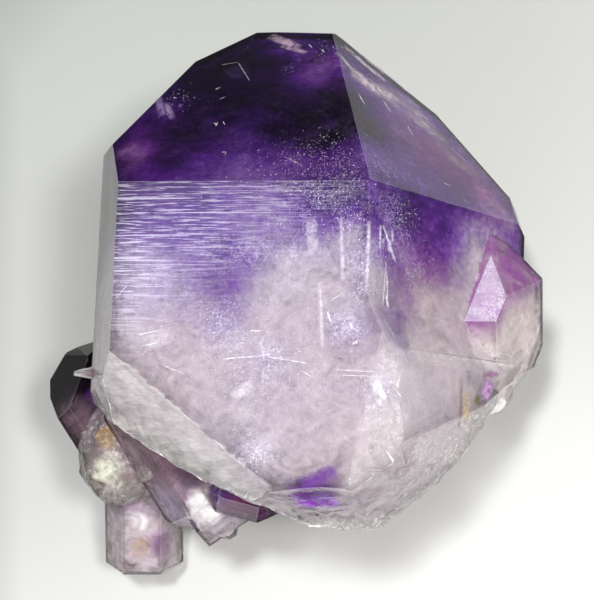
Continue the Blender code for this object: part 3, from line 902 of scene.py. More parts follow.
def dress(piece, material, smooth=False):
    """Gives a finished piece its material and ties it to the crystal."""
    piece.data.materials.clear()
    piece.data.materials.append(material)
    piece.data.polygons.foreach_set("use_smooth", [smooth] * len(piece.data.polygons))
    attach(piece, "root")
    print(piece.name, len(piece.data.polygons), "faces")


# %% Colour and density of a cloud
def beside_edge(points):
    """How far a point lies under the top of the right face, where the violet comes close to the surface."""
    nearer = under(points, FRONT_WAY, FRONT_FAR) - under(points, RIGHT_WAY, RIGHT_FAR)
    return np.clip(nearer / 0.6, 0.0, 1.0) * np.clip((points[:, 1] + 5.0) / 8.0, 0.0, 1.0)


MILK_TO_BLACK = (
    (0.0, "#cac0c9"), (0.2, "#a99cb7"), (0.4, "#7c55a4"),
    (0.6, "#4d1c80"), (0.8, "#260d44"), (1.0, "#08040e"),
)
WARM_MILK_TO_BLACK = (
    (0.0, "#d4c5c8"), (0.2, "#b096ab"), (0.4, "#8e5297"),
    (0.6, "#63257a"), (0.8, "#341242"), (1.0, "#100612"),
)


def cloud_material(name, alpha, seed, lift):
    """A cloud of bubbles and colour. Alpha is None where nothing shows through it."""
    material, tree = new_material(name)
    here = add_node(tree, "TexCoord", {}, "Object")
    moved = add_node(tree, "Mapping", {"Vector": here, "Location": (seed * 0.013, seed * 0.007, 0.0)})
    violet = add_node(tree, "Attribute", {"attribute_name": "violet"}, "Fac")
    pink = add_node(tree, "Attribute", {"attribute_name": "pink"}, "Fac")
    broad = clumps(tree, moved, 0.19, low=0.25, high=0.75, detail=5.0, rough=0.6, bend=0.5)
    fine = clumps(tree, moved, 1.3, low=0.25, high=0.75, detail=6.0, rough=0.72, bend=0.3)
    waves = add_node(tree, "Math", {"operation": "MULTIPLY_ADD", 0: broad, 1: 0.22, 2: lift - 0.28})
    waves = add_node(tree, "Math", {"operation": "MULTIPLY_ADD", 0: fine, 1: 0.34, 2: waves})
    level = add_node(tree, "Math", {"operation": "ADD", "use_clamp": True, 0: violet, 1: waves})
    cool = add_node(tree, "ValToRGB", {"Fac": level, "stops": MILK_TO_BLACK})
    warm = add_node(tree, "ValToRGB", {"Fac": level, "stops": WARM_MILK_TO_BLACK})
    surface = {
        "Base Color": add_node(tree, "Mix", {"data_type": "RGBA", 0: pink, 6: cool, 7: warm}, 2),
        "Roughness": 1.0,
        "Specular IOR Level": 0.0,
    }
    if alpha:
        low, high = alpha
        veil = clumps(tree, moved, 0.3, low=0.36, high=0.68, detail=6.0, rough=0.64, bend=1.0)
        thick = add_node(tree, "Attribute", {"attribute_name": "thick"}, "Fac")
        thick = add_node(tree, "Math", {"operation": "ADD", 0: thick, 1: low})
        share = {"operation": "MULTIPLY_ADD", "use_clamp": True, 0: veil, 1: high - low, 2: thick}
        surface["Alpha"] = add_node(tree, "Math", share)
    shader = add_node(tree, "BsdfPrincipled", surface)
    add_node(tree, "OutputMaterial", {"Surface": shader})
    return material


# %% The four layers
CLOUD_LAYERS = {
    "cloud_near": {"inset": 0.5, "bend": 0.12, "veil": (0.02, 0.5), "net": 0.55, "edge": 0.45, "lift": -0.03},
    "cloud_middle": {"inset": 1.7, "bend": 0.4, "veil": (0.08, 0.65), "net": 0.65, "edge": 0.2, "lift": 0.0},
    "cloud_deep": {"inset": 3.6, "bend": 0.8, "veil": (0.25, 0.9), "net": 0.8, "edge": 0.2, "lift": 0.0},
    "milk_core": {"inset": 5.8, "bend": 1.1, "veil": None, "net": 0.8, "edge": 0.2, "lift": 0.0},
}
BREAK_INSET = 0.7
for number, (name, layer) in enumerate(CLOUD_LAYERS.items()):
    insets = (layer["inset"], layer["inset"] + BREAK_INSET)
    lower = cut_block("lower", main_planes(*insets, True))
    cloud = cut_block(name, main_planes(*insets))
    lower.select_set(True)
    bpy.ops.object.join()
    dense(cloud, layer["net"])
    points = points_of(cloud)
    bend = cloud_noise(points, 5.0, number + 3.0) * layer["bend"]
    points = points + vertex_normals(cloud) * bend[:, None]
    set_points(cloud, points)
    paint(cloud, "violet", violet_at(points))
    paint(cloud, "pink", np.clip(blobs(points, PINK), 0, 1))
    paint(cloud, "thick", beside_edge(points) * layer["edge"])
    dress(cloud, cloud_material(name.replace("_", " "), layer["veil"], number, layer["lift"]), True)

# %% [markdown]
# ## The small crystals and the rock between them
#
# They are cloudier than the large point and stained. Their heart is the copy of the imported shape, turned
# into an even net and shrunk by 0.4 mm, with the part inside the large point taken out. It is painted with
# each crystal's own zone colours and with named stains: ochre, moss, white and grey. One brighter violet
# spot on the smoky point is a painted glow.

# %% Faces taken out of a piece
def delete_faces(piece, unwanted):
    """Deletes the faces for which an array of yes or no says so."""
    select_only(piece)
    bpy.context.tool_settings.mesh_select_mode = (False, False, True)
    bpy.ops.object.mode_set(mode="EDIT")
    bpy.ops.mesh.select_all(action="DESELECT")
    bpy.ops.object.mode_set(mode="OBJECT")
    piece.data.polygons.foreach_set("select", unwanted)
    bpy.ops.object.mode_set(mode="EDIT")
    bpy.ops.mesh.delete(type="FACE")
    bpy.ops.object.mode_set(mode="OBJECT")


def inside_large(points, inset):
    """Which points lie inside the large point's faces, moved in by an inset."""
    inside = np.zeros(len(points), bool)
    for below_step in (False, True):
        kept = np.ones(len(points), bool)
        for way, place in main_planes(inset, None, below_step):
            kept &= (points - np.array(place)) @ np.array(way) < 0
        inside |= kept
    return inside


# %% Heart of the cluster
HEART_NET, HEART_DEPTH = 0.45, 0.4
dense(heart, HEART_NET)
set_points(heart, points_of(heart) - vertex_normals(heart) * HEART_DEPTH)
centres = np.empty(len(heart.data.polygons) * 3)
heart.data.polygons.foreach_get("center", centres)
delete_faces(heart, inside_large(centres.reshape(-1, 3) / MM, 0.05))
print("heart of the cluster", len(heart.data.polygons), "faces")

# %% Colours of the cluster
ZONES = {
    "right_point": (2.1, "#93489c", "#dfd5d6"),
    "smoky_point": (9.0, "#140a1a", "#4c3945"),
    "foot_block": (1.0, "#9d8ba4", "#c6b9c2"),
    "mauve_block": (2.0, "#76606e", "#967f8b"),
    "lilac_block": (2.0, "#7d6a8c", "#a594ae"),
    "lens_point": (3.0, "#532350", "#6d3c62"),
    "back_point": (4.0, "#4a3a50", "#8d7c8a"),
}
TINTS = {
    "right point, violet foot": (26.8, -11.8, 28.4, 1.5, "#a77bb4", 0.7),
    "right point, left rim": (24.0, 2.6, 27.6, 1.6, "#e6c9dc", 0.8),
    "white chip": (28.0, -12.9, 23.4, 3.6, "#fdfbf6", 1.0),
    "olive stain": (25.7, -13.3, 29.9, 0.9, "#55481a", 0.95),
    "moss stain": (25.3, -14.9, 30.5, 0.8, "#a3a24e", 0.9),
    "smoky point, black top": (-28.0, -8.0, 19.5, 4.5, "#0d0711", 0.7),
    # A brighter violet spot on the dark smoky point, painted as a glow of light through it.
    "smoky point, painted glow": (-23.6, -12.6, 20.4, 1.5, "#5a2a80", 0.9),
    "smoky point, foot": (-26.0, -17.2, 20.4, 4.2, "#6c5864", 0.95),
    "grey flank": (-22.8, -22.0, 18.0, 3.8, "#857a72", 0.85),
    "ochre patch": (-21.3, -17.0, 22.0, 1.5, "#b98a2c", 0.95),
    "greenish white patch": (-21.2, -21.6, 21.2, 1.7, "#e1e3d0", 0.95),
    "greenish white patch, low": (-19.8, -23.4, 20.2, 1.1, "#d9dcc8", 0.9),
    "rust seam": (-18.4, -24.6, 20.0, 0.8, "#a9793a", 0.7),
    "mauve block": (-15.4, -19.8, 23.6, 4.0, "#8d7481", 0.7),
    "grey under the scar": (-12.0, -20.0, 24.6, 2.2, "#6b5564", 0.8),
    "dark seam under the scar": (-9.2, -21.9, 24.2, 2.2, "#48344a", 0.9),
    "violet beside it": (-6.2, -22.8, 24.8, 2.2, "#4b2a66", 0.9),
    "dark under the scar": (-6.4, -23.2, 29.0, 3.6, "#4b3350", 0.8),
    "violet under the scar": (-5.6, -25.0, 26.0, 1.9, "#50257c", 0.8),
    "white patch": (-8.0, -26.0, 22.0, 2.3, "#fbfafb", 1.0),
    "white patch, low": (-7.4, -28.0, 20.6, 1.4, "#f4f2f4", 0.9),
    "pale lilac block": (-12.6, -25.4, 20.6, 3.2, "#b3a3c2", 0.7),
    "pale low rim": (-6.6, -29.6, 17.0, 3.4, "#d6ccd4", 0.8),
    "foot block, white heart": (-19.8, -26.9, 12.4, 1.1, "#f2eff3", 0.9),
    "foot block, ochre": (-19.8, -30.0, 11.0, 1.2, "#b8965a", 0.6),
    "foot block, violet side": (-16.6, -29.4, 9.8, 2.2, "#8a5f92", 0.8),
}
ROCK_QUARTZ = "#8d7783"
print("named stains", len(TINTS))

# %% Painting the cluster
def least_depth(points, planes):
    """How deep each point lies under the nearest of some faces, below zero where it is outside."""
    return np.min([(np.array(place) - points) @ np.array(way) for way, place in planes], axis=0)


def grown_tint(points):
    """Mauve rock quartz, and in each smaller crystal a violet zone under its tip faces."""
    colour = np.tile(hex_colour(ROCK_QUARTZ), (len(points), 1))
    wave = cloud_noise(points, 1.8, 20.0)
    for name, (thick, violet, pale) in ZONES.items():
        shape = SIDE_CRYSTALS[name]
        planes = side_planes(shape, 0.0)
        tips = planes[len(shape["prism"]) : len(shape["prism"]) + len(shape["tip"])]
        zone = np.clip(1.15 - (least_depth(points, tips) + 0.5 * wave) / thick, 0.0, 1.0)[:, None]
        mixed = np.array(hex_colour(violet)) * zone + np.array(hex_colour(pale)) * (1 - zone)
        colour = np.where((least_depth(points, planes) > 0.05)[:, None], mixed, colour)
    return colour


def tint(points, tints, seed):
    """A colour for each point: the named patches laid over each other, with ragged borders."""
    ragged = 1.0 + 0.35 * cloud_noise(points, 1.6, seed, 4)
    colour = grown_tint(points)
    for x, y, z, radius, text, strength in tints.values():
        away = np.linalg.norm(points - (x, y, z), axis=1) / radius * ragged
        share = strength * (1.0 - np.clip((away - 0.75) / 0.5, 0.0, 1.0))
        colour += (np.array(hex_colour(text)) - colour) * share[:, None]
    colour[:, 3] = 1.0
    return colour


# %% Cloudy quartz of the cluster
def tinted_material(name, alpha=None):
    """Cloudy quartz that shows its painted tint, mottled from dark to light."""
    material, tree = new_material(name)
    here = add_node(tree, "TexCoord", {}, "Object")
    painted = add_node(tree, "Attribute", {"attribute_name": "tint"}, "Color")
    mottle = clumps(tree, here, 0.52, low=0.3, high=0.72, detail=6.0, rough=0.66, bend=0.8)
    dark = add_node(tree, "HueSaturation", {"Color": painted, "Value": 0.65})
    light = add_node(tree, "HueSaturation", {"Color": painted, "Value": 1.175})
    surface = {
        "Base Color": add_node(tree, "Mix", {"data_type": "RGBA", 0: mottle, 6: dark, 7: light}, 2),
        "Roughness": 0.9,
        "Specular IOR Level": 0.1,
    }
    if alpha:
        low, high = alpha
        veil = clumps(tree, here, 0.42, low=0.38, high=0.66, detail=5.0, rough=0.62, bend=0.9)
        share = {"operation": "MULTIPLY_ADD", 0: veil, 1: high - low, 2: low}
        surface["Alpha"] = add_node(tree, "Math", share)
    shader = add_node(tree, "BsdfPrincipled", surface)
    add_node(tree, "OutputMaterial", {"Surface": shader})
    return material


paint(heart, "tint", tint(points_of(heart), TINTS, 21.0))
dress(heart, tinted_material("cloudy quartz of the cluster", (0.25, 0.95)), True)

# %% [markdown]
# ### Their deeper colour
#
# A second, closed body in each small crystal, 1.3 mm in, stops the eye from looking right through it.

# %% Deep hearts of the smaller crystals
DEEP_INSET, DEEP_NET = 1.3, 0.4
for name, shape in SIDE_CRYSTALS.items():
    deep = cut_block(name + "_heart", side_planes(shape, DEEP_INSET))
    dense(deep, DEEP_NET)
    points = points_of(deep)
    set_points(deep, points + vertex_normals(deep) * (cloud_noise(points, 1.5, 4.0) * 0.15)[:, None])
    paint(deep, "tint", tint(points_of(deep), TINTS, 22.0))
    dress(deep, tinted_material(name.replace("_", " ") + " inside"), True)

# %% [markdown]
# ## Sparkle
#
# Healed cracks leave tiny flat pockets that glitter. Thousands of small four-cornered flakes are strewn just
# under the faces. They start as one grid whose squares are split apart, and each square is put near a named
# spot, tilted a little, and kept only where noise lets it, so that they lie in clumps.

# %% Strewing flakes
FLAKE_SPREAD, FLAKE_TILT, CLUMP_LEVEL = 0.7, 0.45, 0.12
FLAKE_CORNERS = ((-1, -0.6), (0.7, -1), (1, 0.5), (-0.5, 1))


def strewn(name, count, spots, depths, sizes, seed):
    """Tiny flakes just under the faces: a grid split into squares, each square strewn near a spot."""
    side = int(math.sqrt(count))
    bpy.ops.object.select_all(action="DESELECT")
    bpy.ops.mesh.primitive_grid_add(x_subdivisions=side, y_subdivisions=side, size=MM)
    piece = bpy.context.object
    piece.name = piece.data.name = name
    bpy.ops.object.mode_set(mode="EDIT")
    bpy.ops.mesh.select_all(action="SELECT")
    bpy.ops.mesh.edge_split(type="EDGE")
    bpy.ops.object.mode_set(mode="OBJECT")
    chance = np.random.default_rng(seed)
    number = len(piece.data.polygons)
    table = np.array(list(spots.values()))
    weight = table[:, 3] ** 2 * table[:, 4]
    chosen = table[chance.choice(len(table), number, p=weight / weight.sum())]
    places = chosen[:, :3] + chance.normal(size=(number, 3)) * chosen[:, 3:4] * FLAKE_SPREAD
    clumped = cloud_noise(places, 0.9, seed, 2) + 0.5 * cloud_noise(places, 0.35, seed + 1, 1)
    faces = main_planes(0.0)[:MAIN_GROWN]
    ways = np.array([way for way, _ in faces])
    deep = np.einsum("fi,nfi->nf", ways, np.array([place for _, place in faces])[None] - places[:, None])
    nearest = deep.argmin(axis=1)
    move = deep[np.arange(number), nearest] - chance.uniform(*depths, number)
    places = places + ways[nearest] * move[:, None]
    tilt = ways[nearest] + chance.normal(size=(number, 3)) * FLAKE_TILT
    tilt /= np.linalg.norm(tilt, axis=1)[:, None]
    along = np.cross(tilt, chance.normal(size=(number, 3)))
    along /= np.linalg.norm(along, axis=1)[:, None]
    across = np.cross(tilt, along)
    long = chance.uniform(*sizes, number)
    wide = np.maximum(long * chance.uniform(0.12, 0.5, number), 0.02)
    points = points_of(piece)
    for turn, (first, second) in enumerate(FLAKE_CORNERS):
        spot = places + along * (long * first)[:, None] + across * (wide * second)[:, None]
        loops = np.array([face.vertices[turn] for face in piece.data.polygons])
        points[loops] = spot
    set_points(piece, points)
    delete_faces(piece, ~inside_large(places, depths[0] * 0.5) | (clumped < CLUMP_LEVEL))
    return piece


# %% Flakes
SPARKS = {
    "front face, right edge": (14.6, 0.4, 42.3, 1.9, 1.0),
    "right edge, below": (14.3, -2.6, 42.3, 1.6, 0.8),
    "front face, top right": (13.6, 5.2, 42.4, 2.0, 0.7),
    "top right, left of it": (9.0, 7.6, 42.4, 3.4, 0.35),
    "feather": (13.6, -7.4, 42.2, 1.7, 1.0),
    "feather, left side": (11.2, -6.0, 42.2, 1.2, 0.8),
    "dull patch": (-0.8, -7.5, 42.2, 2.3, 0.7),
    "below it": (1.0, -10.4, 42.2, 2.6, 0.35),
    "chain": (5.0, -10.9, 42.2, 3.6, 0.30),
    "wisps at the left": (-8.2, -8.7, 42.2, 1.7, 0.5),
    "star near the scar": (3.9, -21.4, 42.0, 2.0, 1.0),
    "lower middle": (2.0, -14.6, 42.1, 2.4, 0.4),
    "lower right": (17.6, -14.0, 42.0, 2.0, 0.7),
    "strands at the right": (20.6, -18.0, 38.0, 3.4, 0.5),
    "tip face, low right": (9.4, 13.2, 39.6, 4.2, 0.35),
    "tip face, right corner": (12.8, 10.8, 41.6, 2.4, 0.6),
    "tip face, low": (4.0, 12.0, 40.5, 4.0, 0.16),
    "tip": (5.0, 30.2, 26.2, 1.6, 0.6),
    "under the tip": (1.0, 27.8, 28.2, 1.2, 0.3),
    "tip face, left": (-11.6, 22.4, 32.4, 1.8, 0.3),
    "right tip face, low edge": (15.6, 12.3, 37.9, 1.2, 1.0),
    "low edge, further": (17.2, 11.6, 36.2, 1.0, 1.0),
    "right face, top left": (17.8, 6.4, 38.8, 1.5, 0.9),
    "right face, top": (19.2, 5.6, 36.8, 1.9, 0.6),
    "right face, streak": (17.0, 2.6, 40.0, 1.5, 1.0),
    "streak, below": (17.3, -2.6, 39.9, 1.2, 0.7),
    "right face, middle": (19.8, 0.8, 35.8, 2.0, 0.6),
    "whole body": (4.0, -6.0, 40.0, 16.0, 0.012),
}
material, tree = new_material("flakes of healed cracks")
here = add_node(tree, "TexCoord", {}, "Object")
tone = clumps(tree, here, 2.2, low=0.3, high=0.7)
pearly = add_node(tree, "Mix", {"data_type": "RGBA", 0: tone, 6: "#d9c8ee", 7: "#fbf8ff"}, 2)
shader = add_node(tree, "BsdfPrincipled", {"Base Color": pearly, "Roughness": 0.35})
add_node(tree, "OutputMaterial", {"Surface": shader})
FLAKES = {
    "flakes_near": {"count": 10000, "depths": (0.08, 0.45), "sizes": (0.02, 0.10), "seed": 31},
    "flakes_deep": {"count": 4900, "depths": (0.5, 1.4), "sizes": (0.04, 0.14), "seed": 32},
}
for name, look in FLAKES.items():
    dress(strewn(name, spots=SPARKS, **look), material)

# %% [markdown]
# ## Veils, lines and cracks
#
# Some marks are too definite to be left to chance: the long pale growth lines, a crossed crack like a star,
# feathers at the right edge. The growth lines' white is a painted glint of light on the rows. Each is a thin
# sheet laid under one face at a known place, painted to fade out at its rim, and torn by noise. A few
# coloured
# ones lie under the broken faces: the violet patch at the base, and the stains by the crystal on the right.

# %% A sheet in the stone
def sheet(name, middle, way, along, size, bend, colour, strength, seed):
    """A thin, softly bent sheet in the crystal: size is its length and width in millimetres."""
    way = Vector(way).normalized()
    along = Vector(along)
    along = (along - way * along.dot(way)).normalized()
    rows = max(2, min(14, round(size[1] / 0.35)))
    columns = max(4, min(24, round(size[0] / 0.35)))
    bpy.ops.object.select_all(action="DESELECT")
    bpy.ops.mesh.primitive_grid_add(x_subdivisions=columns, y_subdivisions=rows, size=1.0)
    piece = bpy.context.object
    piece.name = piece.data.name = name
    flat = points_of(piece) * MM
    fade = (1 - (2 * flat[:, 0]) ** 2) * (1 - (2 * flat[:, 1]) ** 2)
    turn = Matrix((along, way.cross(along), way)).transposed().to_4x4()
    piece.matrix_world = (
        Matrix.Translation(Vector(middle) * MM) @ turn @ Matrix.Diagonal((size[0] * MM, size[1] * MM, 1, 1))
    )
    apply_place(piece)
    points = points_of(piece)
    set_points(piece, points + np.array(way) * (cloud_noise(points, 2.2, seed) * bend)[:, None])
    paint(piece, "fade", np.clip(fade, 0, 1) ** 0.5 * strength)
    paint(piece, "tint", np.tile(hex_colour(colour), (len(points), 1)))
    return piece


def on_plane(x, y, way, far, deep):
    """The point of a face of the large point at x and y, moved in by a depth."""
    inner = MIDDLE + way * (far - deep)
    return Vector((x, y, inner.z - ((x - inner.x) * way.x + (y - inner.y) * way.y) / way.z))


FACES = {"front": prism_face(90), "tip": TIP_FACES[90], "right": prism_face(30), "right_tip": TIP_FACES[30]}
sheets = []

# %% Growth lines
# The growth lines are real rows, and their white is a painted glint of light on them.
LINE_DEPTH, LINE_WIDTH = 0.03, 0.05
GROWTH_LINES_PAINTED_GLINT = (
    (-14.5, 6.2, -3.7), (-14.6, 5.4, 1.4), (-11.9, 4.4, -6.2), (-14.5, 4.1, -12.4), (-11.8, 2.9, -7.9),
    (-12.4, 2.1, -5.7), (-14.5, 0.7, -10.4), (-11.4, 0.0, -6.1), (-14.4, -2.0, -5.2), (-14.3, -2.7, -12.0),
    (-13.9, -4.7, -9.8), (-14.1, -5.5, -7.6), (-4.8, -4.5, -0.3), (-3.7, -5.7, -0.5), (-9.3, -6.7, -7.8),
    (2.0, -0.6, 3.5), (11.9, 4.3, 14.1), (-4.3, 2.7, 1.6), (-13.9, 3.6, -10.3), (-10.7, 1.5, -4.1),
    (13.3, -12.0, 16.9), (12.6, -12.4, 18.1), (-14.6, 8.9, 15.0), (-13.0, 8.1, -2.0), (-10.0, 7.3, 4.0),
)
for number, (start, height, end) in enumerate(GROWTH_LINES_PAINTED_GLINT):
    middle, size = on_plane((start + end) / 2, height, *FACES["front"], LINE_DEPTH), (end - start, LINE_WIDTH)
    sheets.append(sheet("growth_line_painted_glint", middle, FRONT_WAY, (1, 0, 0), size, 0.0, "#eeebf6", 0.75, number))
print("growth lines", len(GROWTH_LINES_PAINTED_GLINT))

# %% Strokes
STROKE_DEPTH = 0.12
STROKES = {
    "front": (
        (12.6, -12.0, 17.2, -12.2, 0.14), (13.0, -12.6, 17.0, -12.7, 0.12), (12.2, 6.0, 12.9, -1.0, 0.1),
        (-12.6, -2.5, -14.1, -4.3, 0.14), (-0.8, -11.0, 4.0, -10.6, 0.22), (4.0, -10.6, 9.6, -11.4, 0.2),
        (2.3, -7.7, 3.8, -7.8, 0.25), (-11.1, -8.4, -8.3, -7.8, 0.18), (-10.7, -9.7, -7.6, -9.1, 0.18),
        (4.0, -9.9, 4.3, -11.3, 0.16), (3.5, -10.6, 5.0, -10.4, 0.2), (11.6, -4.2, 13.3, -3.1, 0.14),
        (11.2, -5.3, 11.9, -7.0, 0.3), (14.3, -7.5, 13.9, -6.6, 0.5), (14.2, -9.2, 15.1, -8.7, 0.4),
        (2.9, -20.4, 4.6, -22.0, 0.10), (4.3, -20.4, 3.4, -22.6, 0.09), (2.6, -21.5, 5.0, -21.2, 0.09),
        (16.9, -12.9, 18.6, -15.1, 0.4), (-8.6, -11.5, -4.9, -12.9, 0.12), (8.6, -12.1, 10.0, -13.0, 0.14),
        (19.7, -14.0, 20.0, -12.2, 0.2),
    ),
    "tip": (
        (-5.9, 18.5, -5.3, 18.1, 0.2), (-5.4, 18.6, -5.5, 17.9, 0.16), (-4.8, 18.7, -4.4, 18.1, 0.14),
        (-3.5, 13.9, -2.9, 13.9, 0.12), (-2.9, 13.9, -3.0, 13.2, 0.12), (4.2, 13.2, 6.5, 12.0, 0.1),
        (-7.4, 23.8, -6.8, 24.2, 0.16), (-6.4, 22.2, -5.7, 22.6, 0.14), (-12.4, 22.7, -11.8, 22.5, 0.14),
        (2.3, 31.1, 3.0, 30.4, 0.14), (4.1, 30.2, 4.8, 29.6, 0.2), (11.9, 10.5, 12.3, 10.1, 0.18),
        (7.3, 13.4, 7.8, 12.9, 0.12), (-7.9, 27.9, -5.9, 28.3, 0.1), (-5.9, 28.3, -3.4, 25.1, 0.1),
    ),
    "right": (
        (16.6, 5.0, 17.9, 0.9, 0.5), (17.2, -0.1, 17.5, -4.6, 0.35), (16.9, -5.6, 18.3, -9.2, 0.12),
        (19.4, -10.2, 22.9, -9.8, 0.14), (24.1, -3.4, 25.0, -9.3, 0.2), (17.4, 4.6, 17.5, 3.1, 0.5),
        (17.3, -2.9, 17.5, -4.5, 0.5),
    ),
    "right_tip": (
        (15.1, 20.8, 16.2, 19.1, 0.3), (12.1, 23.8, 13.4, 21.9, 0.3), (19.3, 19.4, 22.4, 16.8, 0.12),
        (20.6, 12.8, 21.3, 12.6, 0.25), (22.7, 11.5, 23.4, 10.5, 0.12), (9.9, 23.7, 11.2, 21.7, 0.3),
    ),
}
for face, strokes in STROKES.items():
    way, far = FACES[face]
    for number, (x0, y0, x1, y1, width) in enumerate(strokes):
        start, end = on_plane(x0, y0, way, far, STROKE_DEPTH), on_plane(x1, y1, way, far, STROKE_DEPTH)
        along, size = end - start, ((end - start).length, width)
        sheets.append(sheet("stroke", (start + end) / 2, way, along, size, 0.05, "#f8f6fd", 1.3, number))
print("strokes", sum(len(strokes) for strokes in STROKES.values()))

# %% Veils
VEILS = (
    ("tip", -0.9, 31.6, (0.9, -0.45, 0.3), (5.4, 1.5), 0.3, "#cfb2c6", 0.9, 0.3),
    ("tip", 0.6, 30.2, (0.9, -0.35, 0.3), (4.2, 0.9), 0.3, "#d9c4d2", 0.9, 0.5),
    ("tip", -13.6, 21.2, (0.4, -0.75, 0.6), (4.4, 1.2), 0.4, "#a98cc0", 0.8, 0.4),
    ("tip", -12.2, 20.4, (0.45, -0.7, 0.6), (4.0, 1.0), 0.4, "#b49ac8", 0.8, 0.6),
    ("tip", -5.6, 26.6, (0.5, -0.6, 0.5), (3.4, 3.0), 0.1, "#5c4484", 0.5, 0.8),
    ("front", 10.6, -6.2, (0.1, -1, 0), (8.6, 0.7), 0.1, "#e9e2ea", 1.0, 0.3),
    ("front", 13.6, -6.6, (0.3, -1, 0), (4.2, 2.4), 0.3, "#f1edf3", 0.35, 0.3),
    ("front", 6.8, -1.2, (0.2, 1, 0), (6.5, 4.2), 0.5, "#e2dbe6", 0.55, 0.6),
    ("front", 9.2, 0.8, (1, 0.5, 0), (4.2, 2.6), 0.4, "#e2dbe6", 0.5, 0.5),
    ("front", -8.6, -8.8, (1, 0.4, 0), (4.0, 2.2), 0.4, "#efeaf1", 0.6, 0.4),
    ("front", 4.0, -21.4, (1, 0.1, 0), (4.0, 3.2), 0.4, "#f6f4f7", 0.4, 0.3),
    ("front", 17.6, -14.2, (0.4, -1, 0), (4.0, 1.5), 0.4, "#f8f6f8", 0.9, 0.3),
    ("front", 1.8, -14.6, (1, 0.6, 0), (3.2, 1.6), 0.4, "#f3eff4", 0.7, 0.4),
    ("right_tip", 10.8, 25.4, (0.75, -0.35, -0.6), (8.0, 3.2), 0.4, "#dccbd8", 1.0, 0.3),
    ("right_tip", 16.6, 21.4, (0.6, -0.45, -0.5), (7.0, 2.4), 0.4, "#b6a9b4", 0.8, 0.35),
    ("right_tip", 20.4, 17.2, (0.5, -0.5, -0.5), (7.0, 3.0), 0.4, "#a58a9e", 0.7, 0.4),
    ("right_tip", 14.6, 23.6, (0.6, -0.45, -0.5), (6.0, 1.8), 0.3, "#c9b3c8", 0.9, 0.4),
    ("right_tip", 15.4, 18.8, (0.5, -0.5, -0.5), (5.0, 3.2), 0.4, "#8a5fa6", 0.8, 0.35),
    ("right_tip", 8.8, 29.2, (0.7, -0.5, -0.3), (7.0, 1.3), 0.3, "#d2ccd4", 1.1, 0.2),
    ("right_tip", 8.2, 30.6, (0.7, -0.5, -0.3), (7.5, 1.2), 0.3, "#cdc6d0", 1.1, 0.3),
    ("right_tip", 7.4, 28.2, (0.6, -0.7, 0.1), (4.2, 1.0), 0.3, "#c8c4ca", 1.0, 0.3),
    ("right_tip", 11.6, 28.2, (0.7, -0.6, -0.3), (6.0, 1.0), 0.3, "#cbc0ce", 1.0, 0.3),
    ("right", 18.4, -7.2, (0.2, -1, 0.1), (5.0, 2.0), 0.2, "#4d2470", 0.5, 0.4),
    ("front", 11.2, -24.2, (1, 0.4, 0), (4.6, 2.0), 0.1, "#7a3fa6", 0.9, 0.35),
    ("front", 12.6, 1.6, (0.08, -1, 0), (7.5, 0.7), 0.2, "#ece6f0", 0.8, 0.2),
    ("front", 15.6, 0.6, (0.02, -1, 0), (9.0, 0.6), 0.1, "#f2eef5", 0.9, 0.15),
    ("front", 9.0, 3.2, (0.1, -1, 0), (4.5, 1.6), 0.3, "#e8e2ee", 0.6, 0.3),
    ("right", 16.5, 3.4, (0.15, -1, 0.1), (3.0, 0.45), 0.1, "#efe8f0", 1.3, 0.08),
    ("right", 17.3, 2.7, (0.3, -1, 0.1), (1.6, 0.9), 0.1, "#efe8f0", 1.2, 0.1),
    ("right", 17.1, -1.8, (0.05, -1, 0.1), (5.5, 0.4), 0.1, "#efe8f0", 0.9, 0.1),
)
for number, (face, x, y, along, size, bend, colour, strength, deep) in enumerate(VEILS):
    way, far = FACES[face]
    middle = on_plane(x, y, way, far, deep)
    sheets.append(sheet("veil", middle, way, along, size, bend, colour, strength, number + 40))
print("veils", len(VEILS))

# %% Patches under the broken faces
patch_way, stain_way = (0.03, -0.93, 0.36), (0.87, 0.03, 0.50)
PATCHES = (
    ((10.0, -25.6, 37.8), patch_way, (1, 0.15, 0), (5.6, 4.6), "#a032dc", 1.5),
    ((10.6, -25.3, 38.9), patch_way, (1, 0.4, 0), (3.8, 2.8), "#7a1fb4", 1.2),
    ((26.1, -13.1, 29.3), stain_way, (0, -1, 0.1), (1.4, 1.1), "#6b5a14", 1.6),
    ((25.4, -14.9, 29.9), (0.90, -0.35, 0.28), (0, -1, 0), (0.9, 0.7), "#a3a24e", 1.4),
    ((24.7, -14.0, 31.7), stain_way, (0, -1, 0), (6.0, 0.7), "#7b5f56", 1.0),
    ((25.2, -14.2, 30.9), stain_way, (0, -1, 0), (4.0, 1.6), "#cdb98e", 0.8),
    ((26.95, -11.6, 27.7), stain_way, (0.3, 0.9, -0.5), (2.8, 1.8), "#c79ad6", 1.4),
    ((27.0, -9.8, 27.0), (0.80, 0.37, 0.46), (0.5, 0.2, -1), (3.2, 0.9), "#9a4f96", 1.2),
)
for number, (place, way, along, size, colour, strength) in enumerate(PATCHES):
    sheets.append(sheet("veil", place, way, along, size, 0.1, colour, strength, number + 80))
print("patches", len(PATCHES))

